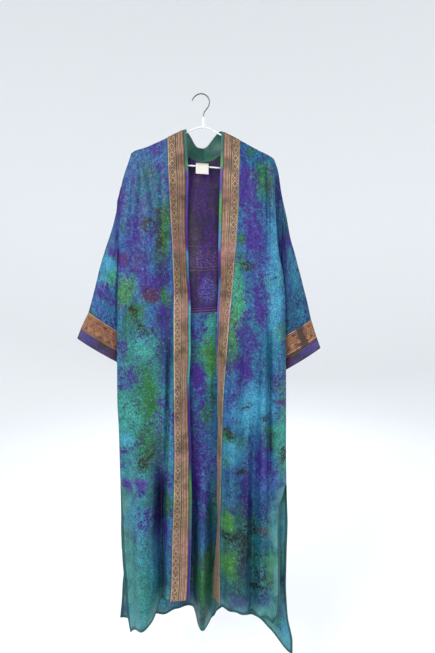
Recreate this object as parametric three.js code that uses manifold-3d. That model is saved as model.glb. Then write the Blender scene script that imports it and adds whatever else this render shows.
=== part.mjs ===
// Long kimono robe hanging open on a slim hanger.
// Millimetres, +Z up, +X to the right as seen from the front, front towards -Y.
// The origin is the seat of the hook, where a rail or a nail carries it.
// Every cloth piece is a wall of one thickness, offset both ways from a mid-surface. The mid-surfaces are sections
// worked out from the tables below: edges, depth of the body, and one row for each large fold.
import * as THREE from "three";
import { mergeVertices } from "three/addons/utils/BufferGeometryUtils.js";
import Module from "manifold-3d";

// ---- driving sizes ----
const SILK = 1.2; // wall of the silk pieces
const BROCADE = 1.2; // wall of the borders
const SEAM = 0.3; // gap between pieces that are sewn together
const ARM_WRAP = 6.6; // radius of the cloth where it goes over the hanger's arms
const BAND = 58; // width of the neckband
const BORDER_FROM = 1.6; // the border's edges, measured across the neckband from its seam
const BORDER_TO = 49.6;
const BAND_ROLL = 8; // radius of the roll where a front turns into its neckband
const BODY_MID = 2; // x of the body's middle plane
// Rows of the body: at fixed drops below the shoulder line, then at fixed heights over the underarm, then even ones
const TOP_DROPS = [0, 2.4, 7, 16, 40];
const OVER_UNDERARM = [32, 9, 0];
const BETWEEN = 2; // even rows between the two
const ARMHOLE_ROWS = TOP_DROPS.length - 1 + BETWEEN + OVER_UNDERARM.length; // the row at the underarm

// ---- small maths ----
const clamp = (v, lo, hi) => Math.min(Math.max(v, lo), hi);
const lerp = (a, b, t) => a + (b - a) * t;
const rad = (deg) => (deg * Math.PI) / 180;
function smooth(from, to, v) {
  const t = clamp((v - from) / (to - from), 0, 1);
  return t * t * (3 - 2 * t);
}
const bump = (t) => (Math.abs(t) >= 1 ? 0 : 0.5 + 0.5 * Math.cos(Math.PI * t));

// A table's column as a smooth function of its first column, with no overshoot.
function column(table, index) {
  const rows = [...table].sort((a, b) => a[0] - b[0]);
  const x = rows.map((r) => r[0]);
  const y = rows.map((r) => r[index]);
  const n = x.length;
  const secant = x.slice(1).map((_, i) => (y[i + 1] - y[i]) / (x[i + 1] - x[i]));
  const slope = x.map((_, i) => {
    if (i === 0) return secant[0];
    if (i === n - 1) return secant[n - 2];
    const a = secant[i - 1];
    const b = secant[i];
    return a * b <= 0 ? 0 : (2 * a * b) / (a + b);
  });
  return (q) => {
    if (q <= x[0]) return y[0];
    if (q >= x[n - 1]) return y[n - 1];
    let i = 0;
    while (q > x[i + 1]) i += 1;
    const h = x[i + 1] - x[i];
    const t = (q - x[i]) / h;
    const t2 = t * t;
    const t3 = t2 * t;
    return (
      (2 * t3 - 3 * t2 + 1) * y[i] +
      (t3 - 2 * t2 + t) * h * slope[i] +
      (3 * t2 - 2 * t3) * y[i + 1] +
      (t3 - t2) * h * slope[i + 1]
    );
  };
}

// ---- sizes of the body ----
// Shoulder line over the hanger's arms: x, z
const SHOULDER = [
  [-198, -161], [-187, -154], [-158, -145], [-120, -129], [-96, -118], [-43, -94], [4, -78],
  [50, -97], [112, -127], [159, -152], [196, -170], [205, -178],
];
// Seam between a front and its neckband, downwards: z, x, turn of the band away from the front plane (deg)
const FRONT_EDGE = {
  left: [
    [-118, -96, 0], [-198, -94, 3.5], [-232, -93, 13], [-275, -91.5, 25], [-358, -87.5, 36], [-458, -82.5, 42], [-556, -80.5, 39],
    [-710, -81, 35], [-860, -81.5, 41], [-1007, -81, 37], [-1157, -84, 24], [-1309, -90, 12], [-1402, -92, 14], [-1468, -97, 8],
  ],
  right: [
    [-126, 109, 4], [-195, 107, 13], [-295, 105, 20], [-405, 99, 28], [-458, 95, 36], [-556, 87, 45], [-607, 81.5, 51],
    [-710, 73.5, 59], [-860, 62.5, 71], [-1007, 58, 76], [-1100, 56, 79], [-1218, 53, 82], [-1300, 51.5, 80], [-1370, 51.5, 74],
    [-1433, 53, 67], [-1470, 54, 65],
  ],
};
// Outer edge of the body, downwards: armhole, side seam, then the free edge beside the slit. z, x of the front, x of the back
const SIDE = {
  left: [
    [-161, -198, -198], [-195, -202, -202], [-248, -212, -212], [-326, -227, -227], [-402, -236, -236],
    [-431, -238, -238], [-574, -244, -244], [-754, -248, -248], [-867, -249, -249], [-957, -246, -246],
    [-1109, -244, -244], [-1150, -241, -243], [-1210, -240, -244], [-1288, -238, -247], [-1330, -236, -247],
    [-1356, -234.5, -243], [-1404, -231.5, -242], [-1445, -230, -246], [-1504, -226.5, -250], [-1542, -220.5, -254],
    [-1580, -214, -258],
  ],
  right: [
    [-178, 205, 205], [-226, 204, 204], [-300, 207, 207], [-402, 214, 214], [-440, 221, 221], [-490, 232, 232],
    [-574, 241, 241], [-778, 245, 245], [-1018, 248, 248], [-1109, 249, 250], [-1150, 241, 251], [-1190, 231, 253],
    [-1256, 227, 256], [-1346, 228, 254], [-1438, 229, 252], [-1500, 225, 255], [-1536, 211, 258], [-1620, 205, 273],
    [-1652, 203, 273],
  ],
};
const UNDERARM = { left: -431, right: -440 };
const SLIT_TOP = -1125;
const SLIT_FREE = -1360; // below this the edges beside a slit hang free
const EDGE_OPEN = 0.85; // depth of a free edge, as a share of the depth beside it
// Hem of each front: x, z
const HEM = {
  left: [
    [-220, -1579], [-214, -1566], [-201, -1550], [-188, -1539], [-170, -1527], [-157, -1518], [-141, -1506], [-130, -1482],
    [-119, -1468], [-108, -1464], [-97, -1464],
  ],
  right: [
    [54, -1474], [72, -1471], [95, -1476], [118, -1491], [143, -1506], [160, -1507], [181, -1508], [196, -1522],
    [211, -1535], [224, -1531],
  ],
};
const HEM_BACK = [
  [-257, -1557], [-237, -1555], [-196, -1553], [-142, -1547], [-110, -1540], [-82, -1532], [-53, -1528], [-32, -1526],
  [-22, -1538], [-14, -1551], [-4, -1552], [8, -1553], [20, -1558], [32, -1556], [44, -1537], [60, -1531],
  [98, -1540], [152, -1550], [183, -1575], [213, -1601], [246, -1633], [262, -1646], [273, -1652],
];
// Depth of the body in front of and behind the hanger's plane: drop below the shoulder line, left front, right front, back
const DEPTH = [
  [0, 0, 0, 0], [14, 1.2, 3.5, 1.5], [38, 3, 9, 4], [76, 6, 16, 7], [180, 12, 18, 12], [330, 16, 22, 16], [580, 20, 26, 20],
  [880, 25, 30, 22], [1180, 29, 32, 23], [1460, 34, 32, 24],
];
// Large folds: z where it starts, z where it is full, z where it has died away (0 if it runs to the hem), x at the
// start, x at the hem, half width at the start, at the hem, and depth, positive towards the front.
const FOLDS = {
  left: [
    [-600, -800, -1150, -93, -116, 8, 12, -14], // crease that runs beside the band
    [-1000, -1160, 0, -120, -126, 22, 22, -33], // deep recess between the band and the outer lobe
    [-600, -1500, 0, -184, -168, 54, 44, 44], // outer lobe
    [-260, -560, -1150, -140, -132, 30, 26, 9],
    [-430, -640, -1100, -206, -212, 24, 22, 7],
    [-1180, -1480, 0, -214, -222, 18, 20, -8],
  ],
  right: [
    [-380, -900, 0, 96, 82, 40, 34, 32], // roll beside the band
    [-1120, -1480, 0, 122, 112, 30, 28, 22], // lobe at the hem
    [-760, -1110, 0, 152, 148, 24, 20, -19], // long recess
    [-420, -800, 0, 176, 176, 22, 24, 13],
    [-560, -740, -1200, 193, 198, 13, 12, -15], // narrow outer recess
    [-620, -900, 0, 220, 216, 16, 16, 8],
    [-150, -260, -520, 186, 198, 13, 13, -9], // short pleat at the armhole
  ],
  back: [
    [-1000, -1500, 0, 3, 0, 34, 32, 72], // lobe that comes forward between the fronts
    [-700, -1400, 0, -52, -50, 30, 28, -9],
    [-620, -1350, 0, -110, -118, 34, 30, 12],
    [-520, -1300, 0, -170, -180, 32, 30, -10],
    [-900, -1450, 0, -222, -226, 24, 24, 9],
    [-640, -1300, 0, 70, 72, 30, 28, -10],
    [-760, -1400, 0, 122, 128, 28, 26, 11],
    [-560, -1350, 0, 176, 182, 28, 26, -9],
    [-1150, -1600, 0, 262, 268, 60, 62, 34], // free corner that swings forward
    [-220, -420, -900, -120, -112, 36, 34, -8],
    [-220, -420, -900, 118, 108, 36, 34, -8],
    [-260, -500, -1000, 0, 4, 40, 40, 7],
  ],
};
const YOKE_SEAM = (x) => -613 + 0.07 * x; // cross seam of the back
// Neck seam of the back: x, z
const NECK_SEAM = [[-96, -118], [-70, -146], [-44, -163], [-20, -176], [4, -181], [28, -177], [52, -163], [80, -146], [109, -126]];
const SHOULDER_COLUMNS = 3; // columns of the upper back along each shoulder

// ---- sleeves ----
// One row for each section, from the armhole to the cuff. top: outer fold, under: underarm fold. Columns:
// top x, z, y, under x, z, y, bow of the section sideways, half depth
const SLEEVE = {
  left: [
    [-198, -161, 0, -238, -431, 0, -4, 16],
    [-205, -180, 1, -242, -443, 8, -10, 15],
    [-213, -204, 2, -244, -462, 18, -13, 20],
    [-220, -233, 3, -240, -488, 26, -12, 15],
    [-229, -272, 4, -232, -520, 32, -10, 19],
    [-240, -310, 4, -223, -552, 36, -8, 16],
    [-256, -368, 5, -213, -590, 39, -5, 16],
    [-274, -419, 5, -203, -622, 41, -3, 15],
    [-291, -470, 6, -193, -655, 42, -2, 14],
    [-309, -537, 6, -180, -687, 43, 0, 13],
    [-329, -610, 6, -165, -722, 43, 0, 12],
  ],
  right: [
    [205, -178, 0, 221, -440, 0, -6, 16],
    [211, -192, 1, 226, -452, 8, 1, 14],
    [218, -216, 2, 230, -470, 18, 3, 21],
    [223, -248, 3, 229, -495, 26, 5, 14],
    [230, -288, 4, 222, -526, 32, 6, 20],
    [242, -338, 4, 214, -560, 36, 6, 15],
    [254, -396, 5, 204, -598, 39, 5, 17],
    [267, -439, 5, 193, -630, 41, 3, 15],
    [281, -488, 6, 180, -662, 42, 2, 14],
    [299, -558, 6, 166, -698, 43, 0, 13],
    [317, -632, 6, 149, -737, 43, 0, 12],
  ],
};
// Cuff: brocade border, then the dark strip. Same columns; each pair of rows is one piece.
const CUFF = {
  left: [
    [-329, -610, 6, -165, -722, 43, 0, 12],
    [-353, -658, 6, -187, -768, 43, 0, 12],
    [-364, -686, 6, -199, -794, 43, 0, 12.5],
  ],
  right: [
    [317, -632, 6, 149, -737, 43, 0, 12],
    [336, -687, 6, 172, -797, 43, 0, 12],
    [346, -714, 6, 182, -825, 43, 0, 12.5],
  ],
};
const SLEEVE_AROUND = 9; // columns on each side of a section

// ---- neckband behind the shoulder, from the shoulder line to the centre back ----
// x of the neck seam, then the free edge's x, y, z and the bulge of the middle backwards
const COLLAR = {
  left: [
    [-88, -41, 9, -98, 0],
    [-76, -36, 16, -103, 1],
    [-62, -30, 25, -111, 2],
    [-44, -22, 35, -124, 3],
    [-22, -12, 43, -133, 4],
    [4, 4, 46, -135, 4],
  ],
  right: [
    [100, 47, 9, -100, 0],
    [88, 41, 17, -105, 1],
    [72, 34, 26, -111, 2],
    [52, 25, 35, -120, 3],
    [28, 14, 43, -131, 4],
    [4, 4, 46, -135, 4],
  ],
};

// ---- worked-out functions of the body ----
const shoulderZ = column(SHOULDER, 1);
const neckSeamZ = column(NECK_SEAM, 1);
const hemBackZ = column(HEM_BACK, 1);
const depthOf = { left: column(DEPTH, 1), right: column(DEPTH, 2), back: column(DEPTH, 3) };
const sideX = {};
const edgeX = {};
const edgeTurn = {};
const hemZ = {};
for (const hand of ["left", "right"]) {
  sideX[hand] = { front: column(SIDE[hand], 1), back: column(SIDE[hand], 2) };
  edgeX[hand] = column(FRONT_EDGE[hand], 1);
  edgeTurn[hand] = column(FRONT_EDGE[hand], 2);
  hemZ[hand] = column(HEM[hand], 1);
}
const wrap = (drop) => (drop >= ARM_WRAP ? ARM_WRAP : Math.sqrt(Math.max(0, drop * (2 * ARM_WRAP - drop))));

// How far the outer edge stands open: 1 along the armhole, 0 at the side seam, then opening again beside the slit.
function edgeOpen(hand, z) {
  const tip = SIDE[hand][0][0];
  const t = (tip - z) / (tip - UNDERARM[hand]);
  if (t <= 0) return 1;
  if (t < 1) return Math.sqrt(1 - t ** 5);
  return 0.9 * smooth(SLIT_TOP, SLIT_FREE, z);
}

function foldsAt(rows, x, z) {
  let sum = 0;
  for (const [start, full, gone, x0, x1, w0, w1, depth] of rows) {
    const t = clamp((start - z) / (start + 1500), 0, 1);
    let height = depth * smooth(start, full, z);
    if (gone) height *= 1 - smooth((full + gone) / 2, gone, z);
    sum += height * bump((x - lerp(x0, x1, t)) / lerp(w0, w1, t));
  }
  return sum;
}

// Distance of the cloth from the hanger's plane, positive away from it.
function depthAt(layer, x, z) {
  const hand = x < BODY_MID ? "left" : "right";
  const isBack = layer === "back";
  const edge = sideX[hand][isBack ? "back" : "front"](z);
  const f = clamp(Math.abs((x - BODY_MID) / (edge - BODY_MID)), 0, 1);
  const open = edgeOpen(hand, z);
  const round = Math.sqrt(Math.max(0, 1 - (1 - (EDGE_OPEN * open) ** 2) * f ** 4));
  const drop = Math.max(0, shoulderZ(x) - z);
  const held = 1 - smooth(0.84, 1, f) * (1 - open);
  const folds = foldsAt(FOLDS[isBack ? "back" : hand], x, z) * held;
  return (wrap(drop) + depthOf[isBack ? "back" : hand](drop)) * round + (isBack ? -folds : folds);
}

// Even steps along a polyline of [x, y, z] points.
function resample(line, count) {
  const at = [0];
  for (let i = 1; i < line.length; i += 1) {
    const [a, b] = [line[i - 1], line[i]];
    at.push(at[i - 1] + Math.hypot(b[0] - a[0], b[1] - a[1], b[2] - a[2]));
  }
  const total = at[at.length - 1];
  const out = [];
  for (let k = 0, i = 1; k <= count; k += 1) {
    const want = (total * k) / count;
    while (i < line.length - 1 && at[i] < want) i += 1;
    const t = clamp((want - at[i - 1]) / (at[i] - at[i - 1] || 1), 0, 1);
    out.push(line[i].map((v, c) => lerp(line[i - 1][c], v, t)));
  }
  return out;
}

// Height of a row at x. Rows 0 to ARMHOLE_ROWS are shared by the front and the upper back, so their edges match.
const underarmZ = (x) => lerp(UNDERARM.left, UNDERARM.right, clamp((x + 240) / 470, 0, 1));
function upperRowZ(top, x, row) {
  const first = TOP_DROPS.length - 1;
  if (row <= first) return top - TOP_DROPS[row];
  const near = row - first - BETWEEN - 1;
  if (near >= 0) return underarmZ(x) + OVER_UNDERARM[near];
  return lerp(top - TOP_DROPS[first], underarmZ(x) + OVER_UNDERARM[0], (row - first) / (BETWEEN + 1));
}
const FRONT_TO_SLIT = 6; // rows of a front from the underarm to the slit, then to the hem
const FRONT_TO_HEM = 7;
const YOKE_ROWS = 3; // rows of the upper back below the underarm
const SKIRT_TO_SLIT = 5;
const SKIRT_TO_HEM = 8;

// ---- mid-surfaces ----
// A grid is rows of [x, y, z]. Normals are fixed at the edges, so that pieces sewn together face each other squarely.
const V = (p) => new THREE.Vector3(...p);
function shoulderNormal(x, drop, away) {
  const slope = (shoulderZ(x + 3) - shoulderZ(x - 3)) / 6;
  const up = V([-slope, 0, 1]).normalize();
  const c = clamp((ARM_WRAP - drop) / ARM_WRAP, 0, 1);
  return up.multiplyScalar(c).add(V([0, away * Math.sqrt(1 - c * c), 0])).normalize();
}
// Across the side: square to the front where the edge stands open, square to the side where it is closed.
function sideNormal(hand, z, away, row) {
  const out = hand === "left" ? -1 : 1;
  if (row < ARMHOLE_ROWS) return V([0, away, 0]);
  return z > SLIT_TOP - 1 ? V([out, 0, 0]) : null;
}
const bandNormal = (hand, turn) => V([(hand === "left" ? 1 : -1) * Math.sin(turn), -Math.cos(turn), 0]);

function frontGrid(hand, columns) {
  const out = hand === "left" ? -1 : 1;
  const rows = ARMHOLE_ROWS + FRONT_TO_SLIT + FRONT_TO_HEM;
  const grid = [];
  const fixed = [];
  const seam = [];
  const heightAt = (x, j) => {
    if (j <= ARMHOLE_ROWS) return upperRowZ(shoulderZ(x), x, j);
    const k = j - ARMHOLE_ROWS;
    if (k <= FRONT_TO_SLIT) return lerp(underarmZ(x), SLIT_TOP, k / FRONT_TO_SLIT);
    return lerp(SLIT_TOP, hemZ[hand](x), (k - FRONT_TO_SLIT) / FRONT_TO_HEM);
  };
  for (let j = 0; j <= rows; j += 1) {
    const line = [];
    const steps = 160;
    const settle = smooth(0, ARM_WRAP, TOP_DROPS[Math.min(j, 4)]); // no roll on top of the shoulder
    for (let i = 0; i <= steps; i += 1) {
      let x = out * 150;
      let z = heightAt(x, j);
      // the height depends on x and x on the height, so a few passes settle both
      for (let pass = 0; pass < 5; pass += 1) {
        const roll = out * BAND_ROLL * Math.sin(rad(edgeTurn[hand](z))) * settle;
        x = lerp(edgeX[hand](z) + roll, sideX[hand].front(z), i / steps);
        z = heightAt(x, j);
      }
      const y = Math.min(-depthAt("front", x, z), -SEAM / 2);
      line.push([x, y, z]);
    }
    if (j <= ARMHOLE_ROWS) line[steps][0] -= (out * SEAM) / 2;
    const head = line[0];
    const turn = rad(edgeTurn[hand](head[2])) * settle;
    const bend = [];
    if (turn > 0)
      for (let k = 6; k >= 1; k -= 1) {
        const a = (turn * k) / 6;
        bend.push([head[0] - out * BAND_ROLL * Math.sin(a), head[1] + BAND_ROLL * (1 - Math.cos(a)), head[2]]);
      }
    const row = resample([...bend, ...line], columns);
    grid.push(row);
    const drop = Math.max(0, shoulderZ(row[0][0]) - row[0][2]);
    const start = drop < ARM_WRAP ? shoulderNormal(row[0][0], drop, -1) : bandNormal(hand, turn);
    seam.push({ point: row[0], turn, drop, normal: start });
    const edges = { 0: start };
    const side = sideNormal(hand, row[columns][2], -1, j);
    if (side) edges[columns] = side;
    if (j < 3) row.forEach((p, i) => (edges[i] = shoulderNormal(p[0], TOP_DROPS[j], -1)));
    fixed.push(edges);
  }
  return { grid, fixed, seam };
}

function yokeGrid() {
  const rows = ARMHOLE_ROWS + YOKE_ROWS;
  const neck = [...COLLAR.left.map((r) => r[0]), ...COLLAR.right.map((r) => r[0]).reverse().slice(1)];
  const [l, r] = [NECK_SEAM[0][0], NECK_SEAM[NECK_SEAM.length - 1][0]];
  const tips = [SHOULDER[0][0], SHOULDER[SHOULDER.length - 1][0]];
  const xs = [];
  for (let k = 0; k < SHOULDER_COLUMNS; k += 1) xs.push(lerp(tips[0], l, k / SHOULDER_COLUMNS));
  xs.push(l, ...neck, r);
  for (let k = 1; k <= SHOULDER_COLUMNS; k += 1) xs.push(lerp(r, tips[1], k / SHOULDER_COLUMNS));
  const columns = xs.length - 1;
  const topAt = (x) => (x > l && x < r ? neckSeamZ(x) - SEAM : shoulderZ(x));
  const heightAt = (x, j) => {
    if (j <= ARMHOLE_ROWS) return upperRowZ(topAt(x), x, j);
    return lerp(underarmZ(x), YOKE_SEAM(x) + SEAM / 2, (j - ARMHOLE_ROWS) / YOKE_ROWS);
  };
  const grid = [];
  const fixed = [];
  for (let j = 0; j <= rows; j += 1) {
    const line = [];
    const steps = 400;
    const wanted = j === 0 ? xs.length - 1 : steps;
    for (let i = 0; i <= wanted; i += 1) {
      let z = -300;
      let x = 0;
      for (let pass = 0; pass < 5; pass += 1) {
        x = j === 0 ? xs[i] : lerp(sideX.left.back(z), sideX.right.back(z), i / steps);
        z = heightAt(x, j);
      }
      line.push([x, Math.max(depthAt("back", x, z), SEAM / 2), z]);
    }
    if (j <= ARMHOLE_ROWS) {
      line[0][0] += SEAM / 2;
      line[line.length - 1][0] -= SEAM / 2;
    }
    grid.push(j === 0 ? line : line);
    const edges = {};
    const put = (index, n) => n && (edges[index] = n);
    put(0, sideNormal("left", -500, 1, j));
    put(columns, sideNormal("right", -500, 1, j));
    fixed.push(edges);
  }
  // shares of the way across: those of the top row, turning even further down
  const lengths = [0];
  for (let i = 1; i <= columns; i += 1) lengths.push(lengths[i - 1] + V(grid[0][i]).distanceTo(V(grid[0][i - 1])));
  const share = lengths.map((v) => v / lengths[columns]);
  for (let j = 1; j <= rows; j += 1) {
    const even = smooth(1, ARMHOLE_ROWS, j);
    const fine = resample(grid[j], 1200);
    grid[j] = share.map((v, i) => fine[Math.round(1200 * lerp(v, i / columns, even))]);
  }
  for (let j = 0; j < 3; j += 1)
    grid[j].forEach((p, i) => {
      if (p[0] <= l || p[0] >= r) fixed[j][i] = shoulderNormal(p[0], TOP_DROPS[j], 1);
    });
  // along the neck seam the edge faces the neckband
  const seam = {};
  grid[0].forEach((p, i) => {
    if (i <= SHOULDER_COLUMNS || i >= columns - SHOULDER_COLUMNS) return;
    const lean = smooth(0, 14, p[1]);
    const n = V([0, 1, 0]).multiplyScalar(0.4 + 0.6 * lean).add(V([0, 0, 0.9 * (1 - lean) - 0.3 * lean])).normalize();
    fixed[0][i] = n;
    seam[Math.round(p[0])] = { point: p, normal: n };
  });
  return { grid, fixed, seam };
}

function skirtGrid(columns) {
  const rows = SKIRT_TO_SLIT + SKIRT_TO_HEM;
  const grid = [];
  const fixed = [];
  for (let j = 0; j <= rows; j += 1) {
    const line = [];
    const steps = 400;
    for (let i = 0; i <= steps; i += 1) {
      let z = -1000;
      let x = 0;
      for (let pass = 0; pass < 5; pass += 1) {
        x = lerp(sideX.left.back(z), sideX.right.back(z), i / steps);
        z =
          j <= SKIRT_TO_SLIT
            ? lerp(YOKE_SEAM(x) - SEAM / 2, SLIT_TOP, j / SKIRT_TO_SLIT)
            : lerp(SLIT_TOP, hemBackZ(x), (j - SKIRT_TO_SLIT) / SKIRT_TO_HEM);
      }
      const y = depthAt("back", x, z);
      line.push([x, i < 12 || i > steps - 12 ? (z > SLIT_TOP - 1 ? Math.max(y, SEAM / 2) : y) : y, z]);
    }
    const row = resample(line, columns);
    grid.push(row);
    const edges = {};
    const [a, b] = [row[0][2], row[columns][2]];
    if (a > SLIT_TOP - 1) edges[0] = V([-1, 0, 0]);
    if (b > SLIT_TOP - 1) edges[columns] = V([1, 0, 0]);
    fixed.push(edges);
  }
  return { grid, fixed };
}

// The neckband follows its front's edge up, then goes over the shoulder and round the neck.
// across: distances from the seam at which the band has a column
function bandGrid(hand, frontSeam, neckSeam, across) {
  const out = hand === "left" ? -1 : 1;
  const grid = [];
  const fixed = [];
  for (const { point, turn, drop, normal } of [...frontSeam].reverse()) {
    const follow = 1 - smooth(0, 150, drop); // near the shoulder the band lies along the hanger's arm
    grid.push(
      across.map((s) => {
        const d = s + SEAM;
        const slant = 1 - 0.09 * follow;
        const x = point[0] - out * d * Math.cos(turn) * slant;
        const z = point[2] + (shoulderZ(x) - shoulderZ(point[0])) * follow;
        return [x, point[1] + d * Math.sin(turn) * slant, z];
      }),
    );
    fixed.push({ 0: normal.clone() });
  }
  for (const [sx, fx, fy, fz, bulge] of COLLAR[hand]) {
    const { point, normal } = neckSeam[sx];
    const lift = SEAM * 1.6; // square to the seam
    grid.push(
      across.map((s) => {
        const t = s / BAND;
        const b = 4 * t * (1 - t) * bulge;
        return [lerp(point[0], fx, t), lerp(point[1], fy, t) + b * 0.8, lerp(point[2] + lift, fz, t) - b * 0.6];
      }),
    );
    fixed.push({ 0: normal.clone() });
  }
  grid[grid.length - 1].forEach((p) => (p[0] += (out * SEAM) / 2));
  return { grid, fixed };
}

// A sleeve section: the front from the outer fold to the underarm fold, then the back again.
const cosine = (i) => 0.5 - 0.5 * Math.cos((Math.PI * i) / SLEEVE_AROUND);
function ring(hand, row, shares, lift) {
  const [tx, tz, ty, bx, bz, by, bow, half] = row;
  const points = [];
  for (let i = 0; i < 2 * SLEEVE_AROUND; i += 1) {
    const front = i <= SLEEVE_AROUND;
    const e = shares[front ? i : 2 * SLEEVE_AROUND - i];
    const x = lerp(tx, bx, e) + bow * Math.sin(Math.PI * e);
    const z = lerp(tz, bz, e);
    const swell = Math.sin(Math.PI * clamp(e, 0, 1));
    let y = lerp(ty, by, smooth(0, 1, e)) + (front ? -1 : 1) * half * Math.max(0, swell) ** 0.7;
    if (front && lift && z < UNDERARM[hand] + 4) {
      const inside = Math.abs(sideX[hand].back(z)) - Math.abs(x);
      if (inside > -2.5) y = Math.max(y, depthAt("back", x, z) + 3.4);
    }
    points.push([x, y, z]);
  }
  return points;
}

// The whole sleeve with its cuff as rings: armhole first. The first ring takes its points from the edges of the body.
function sleeveRings(hand, frontEdge, backEdge) {
  const out = hand === "left" ? -1 : 1;
  const [tip, under] = [frontEdge[0][2], frontEdge[SLEEVE_AROUND][2]];
  const start = frontEdge.map((p) => (p[2] - tip) / (under - tip));
  const rings = [];
  const first = [];
  for (let i = 0; i < 2 * SLEEVE_AROUND; i += 1) {
    const p = i <= SLEEVE_AROUND ? frontEdge[i] : backEdge[2 * SLEEVE_AROUND - i];
    const fold = i === 0 || i === SLEEVE_AROUND;
    const clear = [4, 2.2][Math.abs(i - SLEEVE_AROUND)] ?? 1; // further off where the tube closes under the arm
    first.push([p[0] + out * SEAM * clear, fold ? 0 : p[1], p[2] + (i === SLEEVE_AROUND ? 1.5 : 0)]);
  }
  rings.push(first);
  SLEEVE[hand].forEach((row, k) => {
    if (k === 0) return;
    const mix = smooth(0, 4, k);
    const shares = start.map((v, i) => lerp(v, cosine(i), mix));
    rings.push(ring(hand, row, shares, true));
  });
  const even = start.map((_, i) => cosine(i));
  for (const row of CUFF[hand].slice(1)) rings.push(ring(hand, row, even, false));
  return rings;
}

// ---- solids ----
// Unit normals of a grid. Fixed ones point away from the body, and the others take the same side.
function normalsOf(grid, fixed = [], closed = false) {
  const rows = grid.length;
  const cols = grid[0].length;
  const P = (j, i) => V(grid[j][closed ? (i + cols) % cols : i]);
  const out = grid.map((row, j) =>
    row.map((_, i) => {
      const u = closed ? P(j, i + 1).sub(P(j, i - 1)) : P(j, Math.min(i + 1, cols - 1)).sub(P(j, Math.max(i - 1, 0)));
      const v = P(Math.min(j + 1, rows - 1), i).sub(P(Math.max(j - 1, 0), i));
      return u.cross(v).normalize();
    }),
  );
  let agree = 0;
  const each = (f) => fixed.forEach((row, j) => Object.entries(row || {}).forEach(([i, n]) => f(j, Number(i), n)));
  each((j, i, n) => (agree += n.dot(out[j][i])));
  if (agree < 0) out.forEach((row) => row.forEach((n) => n.negate()));
  each((j, i, n) => (out[j][i] = n.clone()));
  return out;
}

// A wall round a grid of mid-surface points. closed: the columns run all the way round.
function wall(grid, normals, thickness, closed = false) {
  const rows = grid.length;
  const cols = grid[0].length;
  const positions = [];
  for (const side of [0.5, -0.5])
    for (let j = 0; j < rows; j += 1)
      for (let i = 0; i < cols; i += 1) {
        const p = V(grid[j][i]).addScaledVector(normals[j][i], side * thickness);
        positions.push(p.x, p.y, p.z);
      }
  const index = [];
  const id = (side, j, i) => side * rows * cols + j * cols + (closed ? (i + cols) % cols : i);
  const quad = (a, b, c, d) => index.push(a, b, c, a, c, d);
  const lastCol = closed ? cols : cols - 1;
  for (let j = 0; j < rows - 1; j += 1)
    for (let i = 0; i < lastCol; i += 1) {
      quad(id(0, j, i), id(0, j, i + 1), id(0, j + 1, i + 1), id(0, j + 1, i));
      // the same diagonal on both skins keeps the wall's thickness
      const [a, b, c, d] = [id(1, j, i), id(1, j, i + 1), id(1, j + 1, i + 1), id(1, j + 1, i)];
      index.push(a, c, b, a, d, c);
    }
  for (let i = 0; i < lastCol; i += 1) {
    quad(id(1, 0, i), id(1, 0, i + 1), id(0, 0, i + 1), id(0, 0, i));
    quad(id(0, rows - 1, i), id(0, rows - 1, i + 1), id(1, rows - 1, i + 1), id(1, rows - 1, i));
  }
  if (!closed)
    for (let j = 0; j < rows - 1; j += 1) {
      quad(id(0, j, 0), id(0, j + 1, 0), id(1, j + 1, 0), id(1, j, 0));
      quad(id(1, j, cols - 1), id(1, j + 1, cols - 1), id(0, j + 1, cols - 1), id(0, j, cols - 1));
    }
  return outward(positions, index);
}

// Gives the faces the order that points them out.
function outward(positions, index) {
  let volume = 0;
  const v = (k) => new THREE.Vector3(positions[3 * k], positions[3 * k + 1], positions[3 * k + 2]);
  for (let t = 0; t < index.length; t += 3) volume += v(index[t]).dot(v(index[t + 1]).cross(v(index[t + 2])));
  if (volume < 0) for (let t = 0; t < index.length; t += 3) [index[t + 1], index[t + 2]] = [index[t + 2], index[t + 1]];
  const g = new THREE.BufferGeometry();
  g.setAttribute("position", new THREE.Float32BufferAttribute(positions, 3));
  g.setIndex(index);
  return g;
}
const moved = (grid, normals, distance) =>
  grid.map((row, j) => row.map((p, i) => V(p).addScaledVector(normals[j][i], distance).toArray()));

// ---- materials ----
const material = (color, roughness, metalness = 0) => new THREE.MeshStandardMaterial({ color, roughness, metalness });
const silk = material(0x2f6f8e, 0.55);
const darkSilk = material(0x2a1a4a, 0.6);
const greenSilk = material(0x2f7f74, 0.55);
const brocade = material(0x9a6a4a, 0.5, 0.2);
const whiteCloth = material(0xe8e6df, 0.8);
const whitePlastic = material(0xf0f0ee, 0.35);
const steel = material(0x8f9296, 0.3, 1);

const robe = new THREE.Group();
function add(name, geometry, mat) {
  const mesh = new THREE.Mesh(geometry, mat);
  mesh.name = name;
  robe.add(mesh);
}

// ---- body ----
const bandColumns = [0, BORDER_FROM, 17.6, 33.6, BORDER_TO, BAND];
const yoke = yokeGrid();
const fronts = {};
for (const hand of ["left", "right"]) {
  const out = hand === "left" ? -1 : 1;
  const front = frontGrid(hand, 15);
  fronts[hand] = front;
  add(`front_panel_${hand}`, wall(front.grid, normalsOf(front.grid, front.fixed), SILK), silk);

  const band = bandGrid(hand, front.seam, yoke.seam, bandColumns);
  const normals = normalsOf(band.grid, band.fixed);
  normals[normals.length - 1].forEach((n) => n.setX(0).normalize()); // the two halves meet squarely at the back
  add(`neckband_${hand}`, wall(band.grid, normals, SILK), greenSilk);
  const outer = moved(band.grid, normals, SILK / 2 + SEAM + 0.1 + BROCADE / 2);
  outer[outer.length - 1].forEach((p) => (p[0] = 4 + (out * SEAM) / 2));
  const strip = (rows) => rows.map((row) => row.slice(1, 5));
  add(`border_${hand}`, wall(strip(outer), strip(normals), BROCADE), brocade);
}
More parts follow.
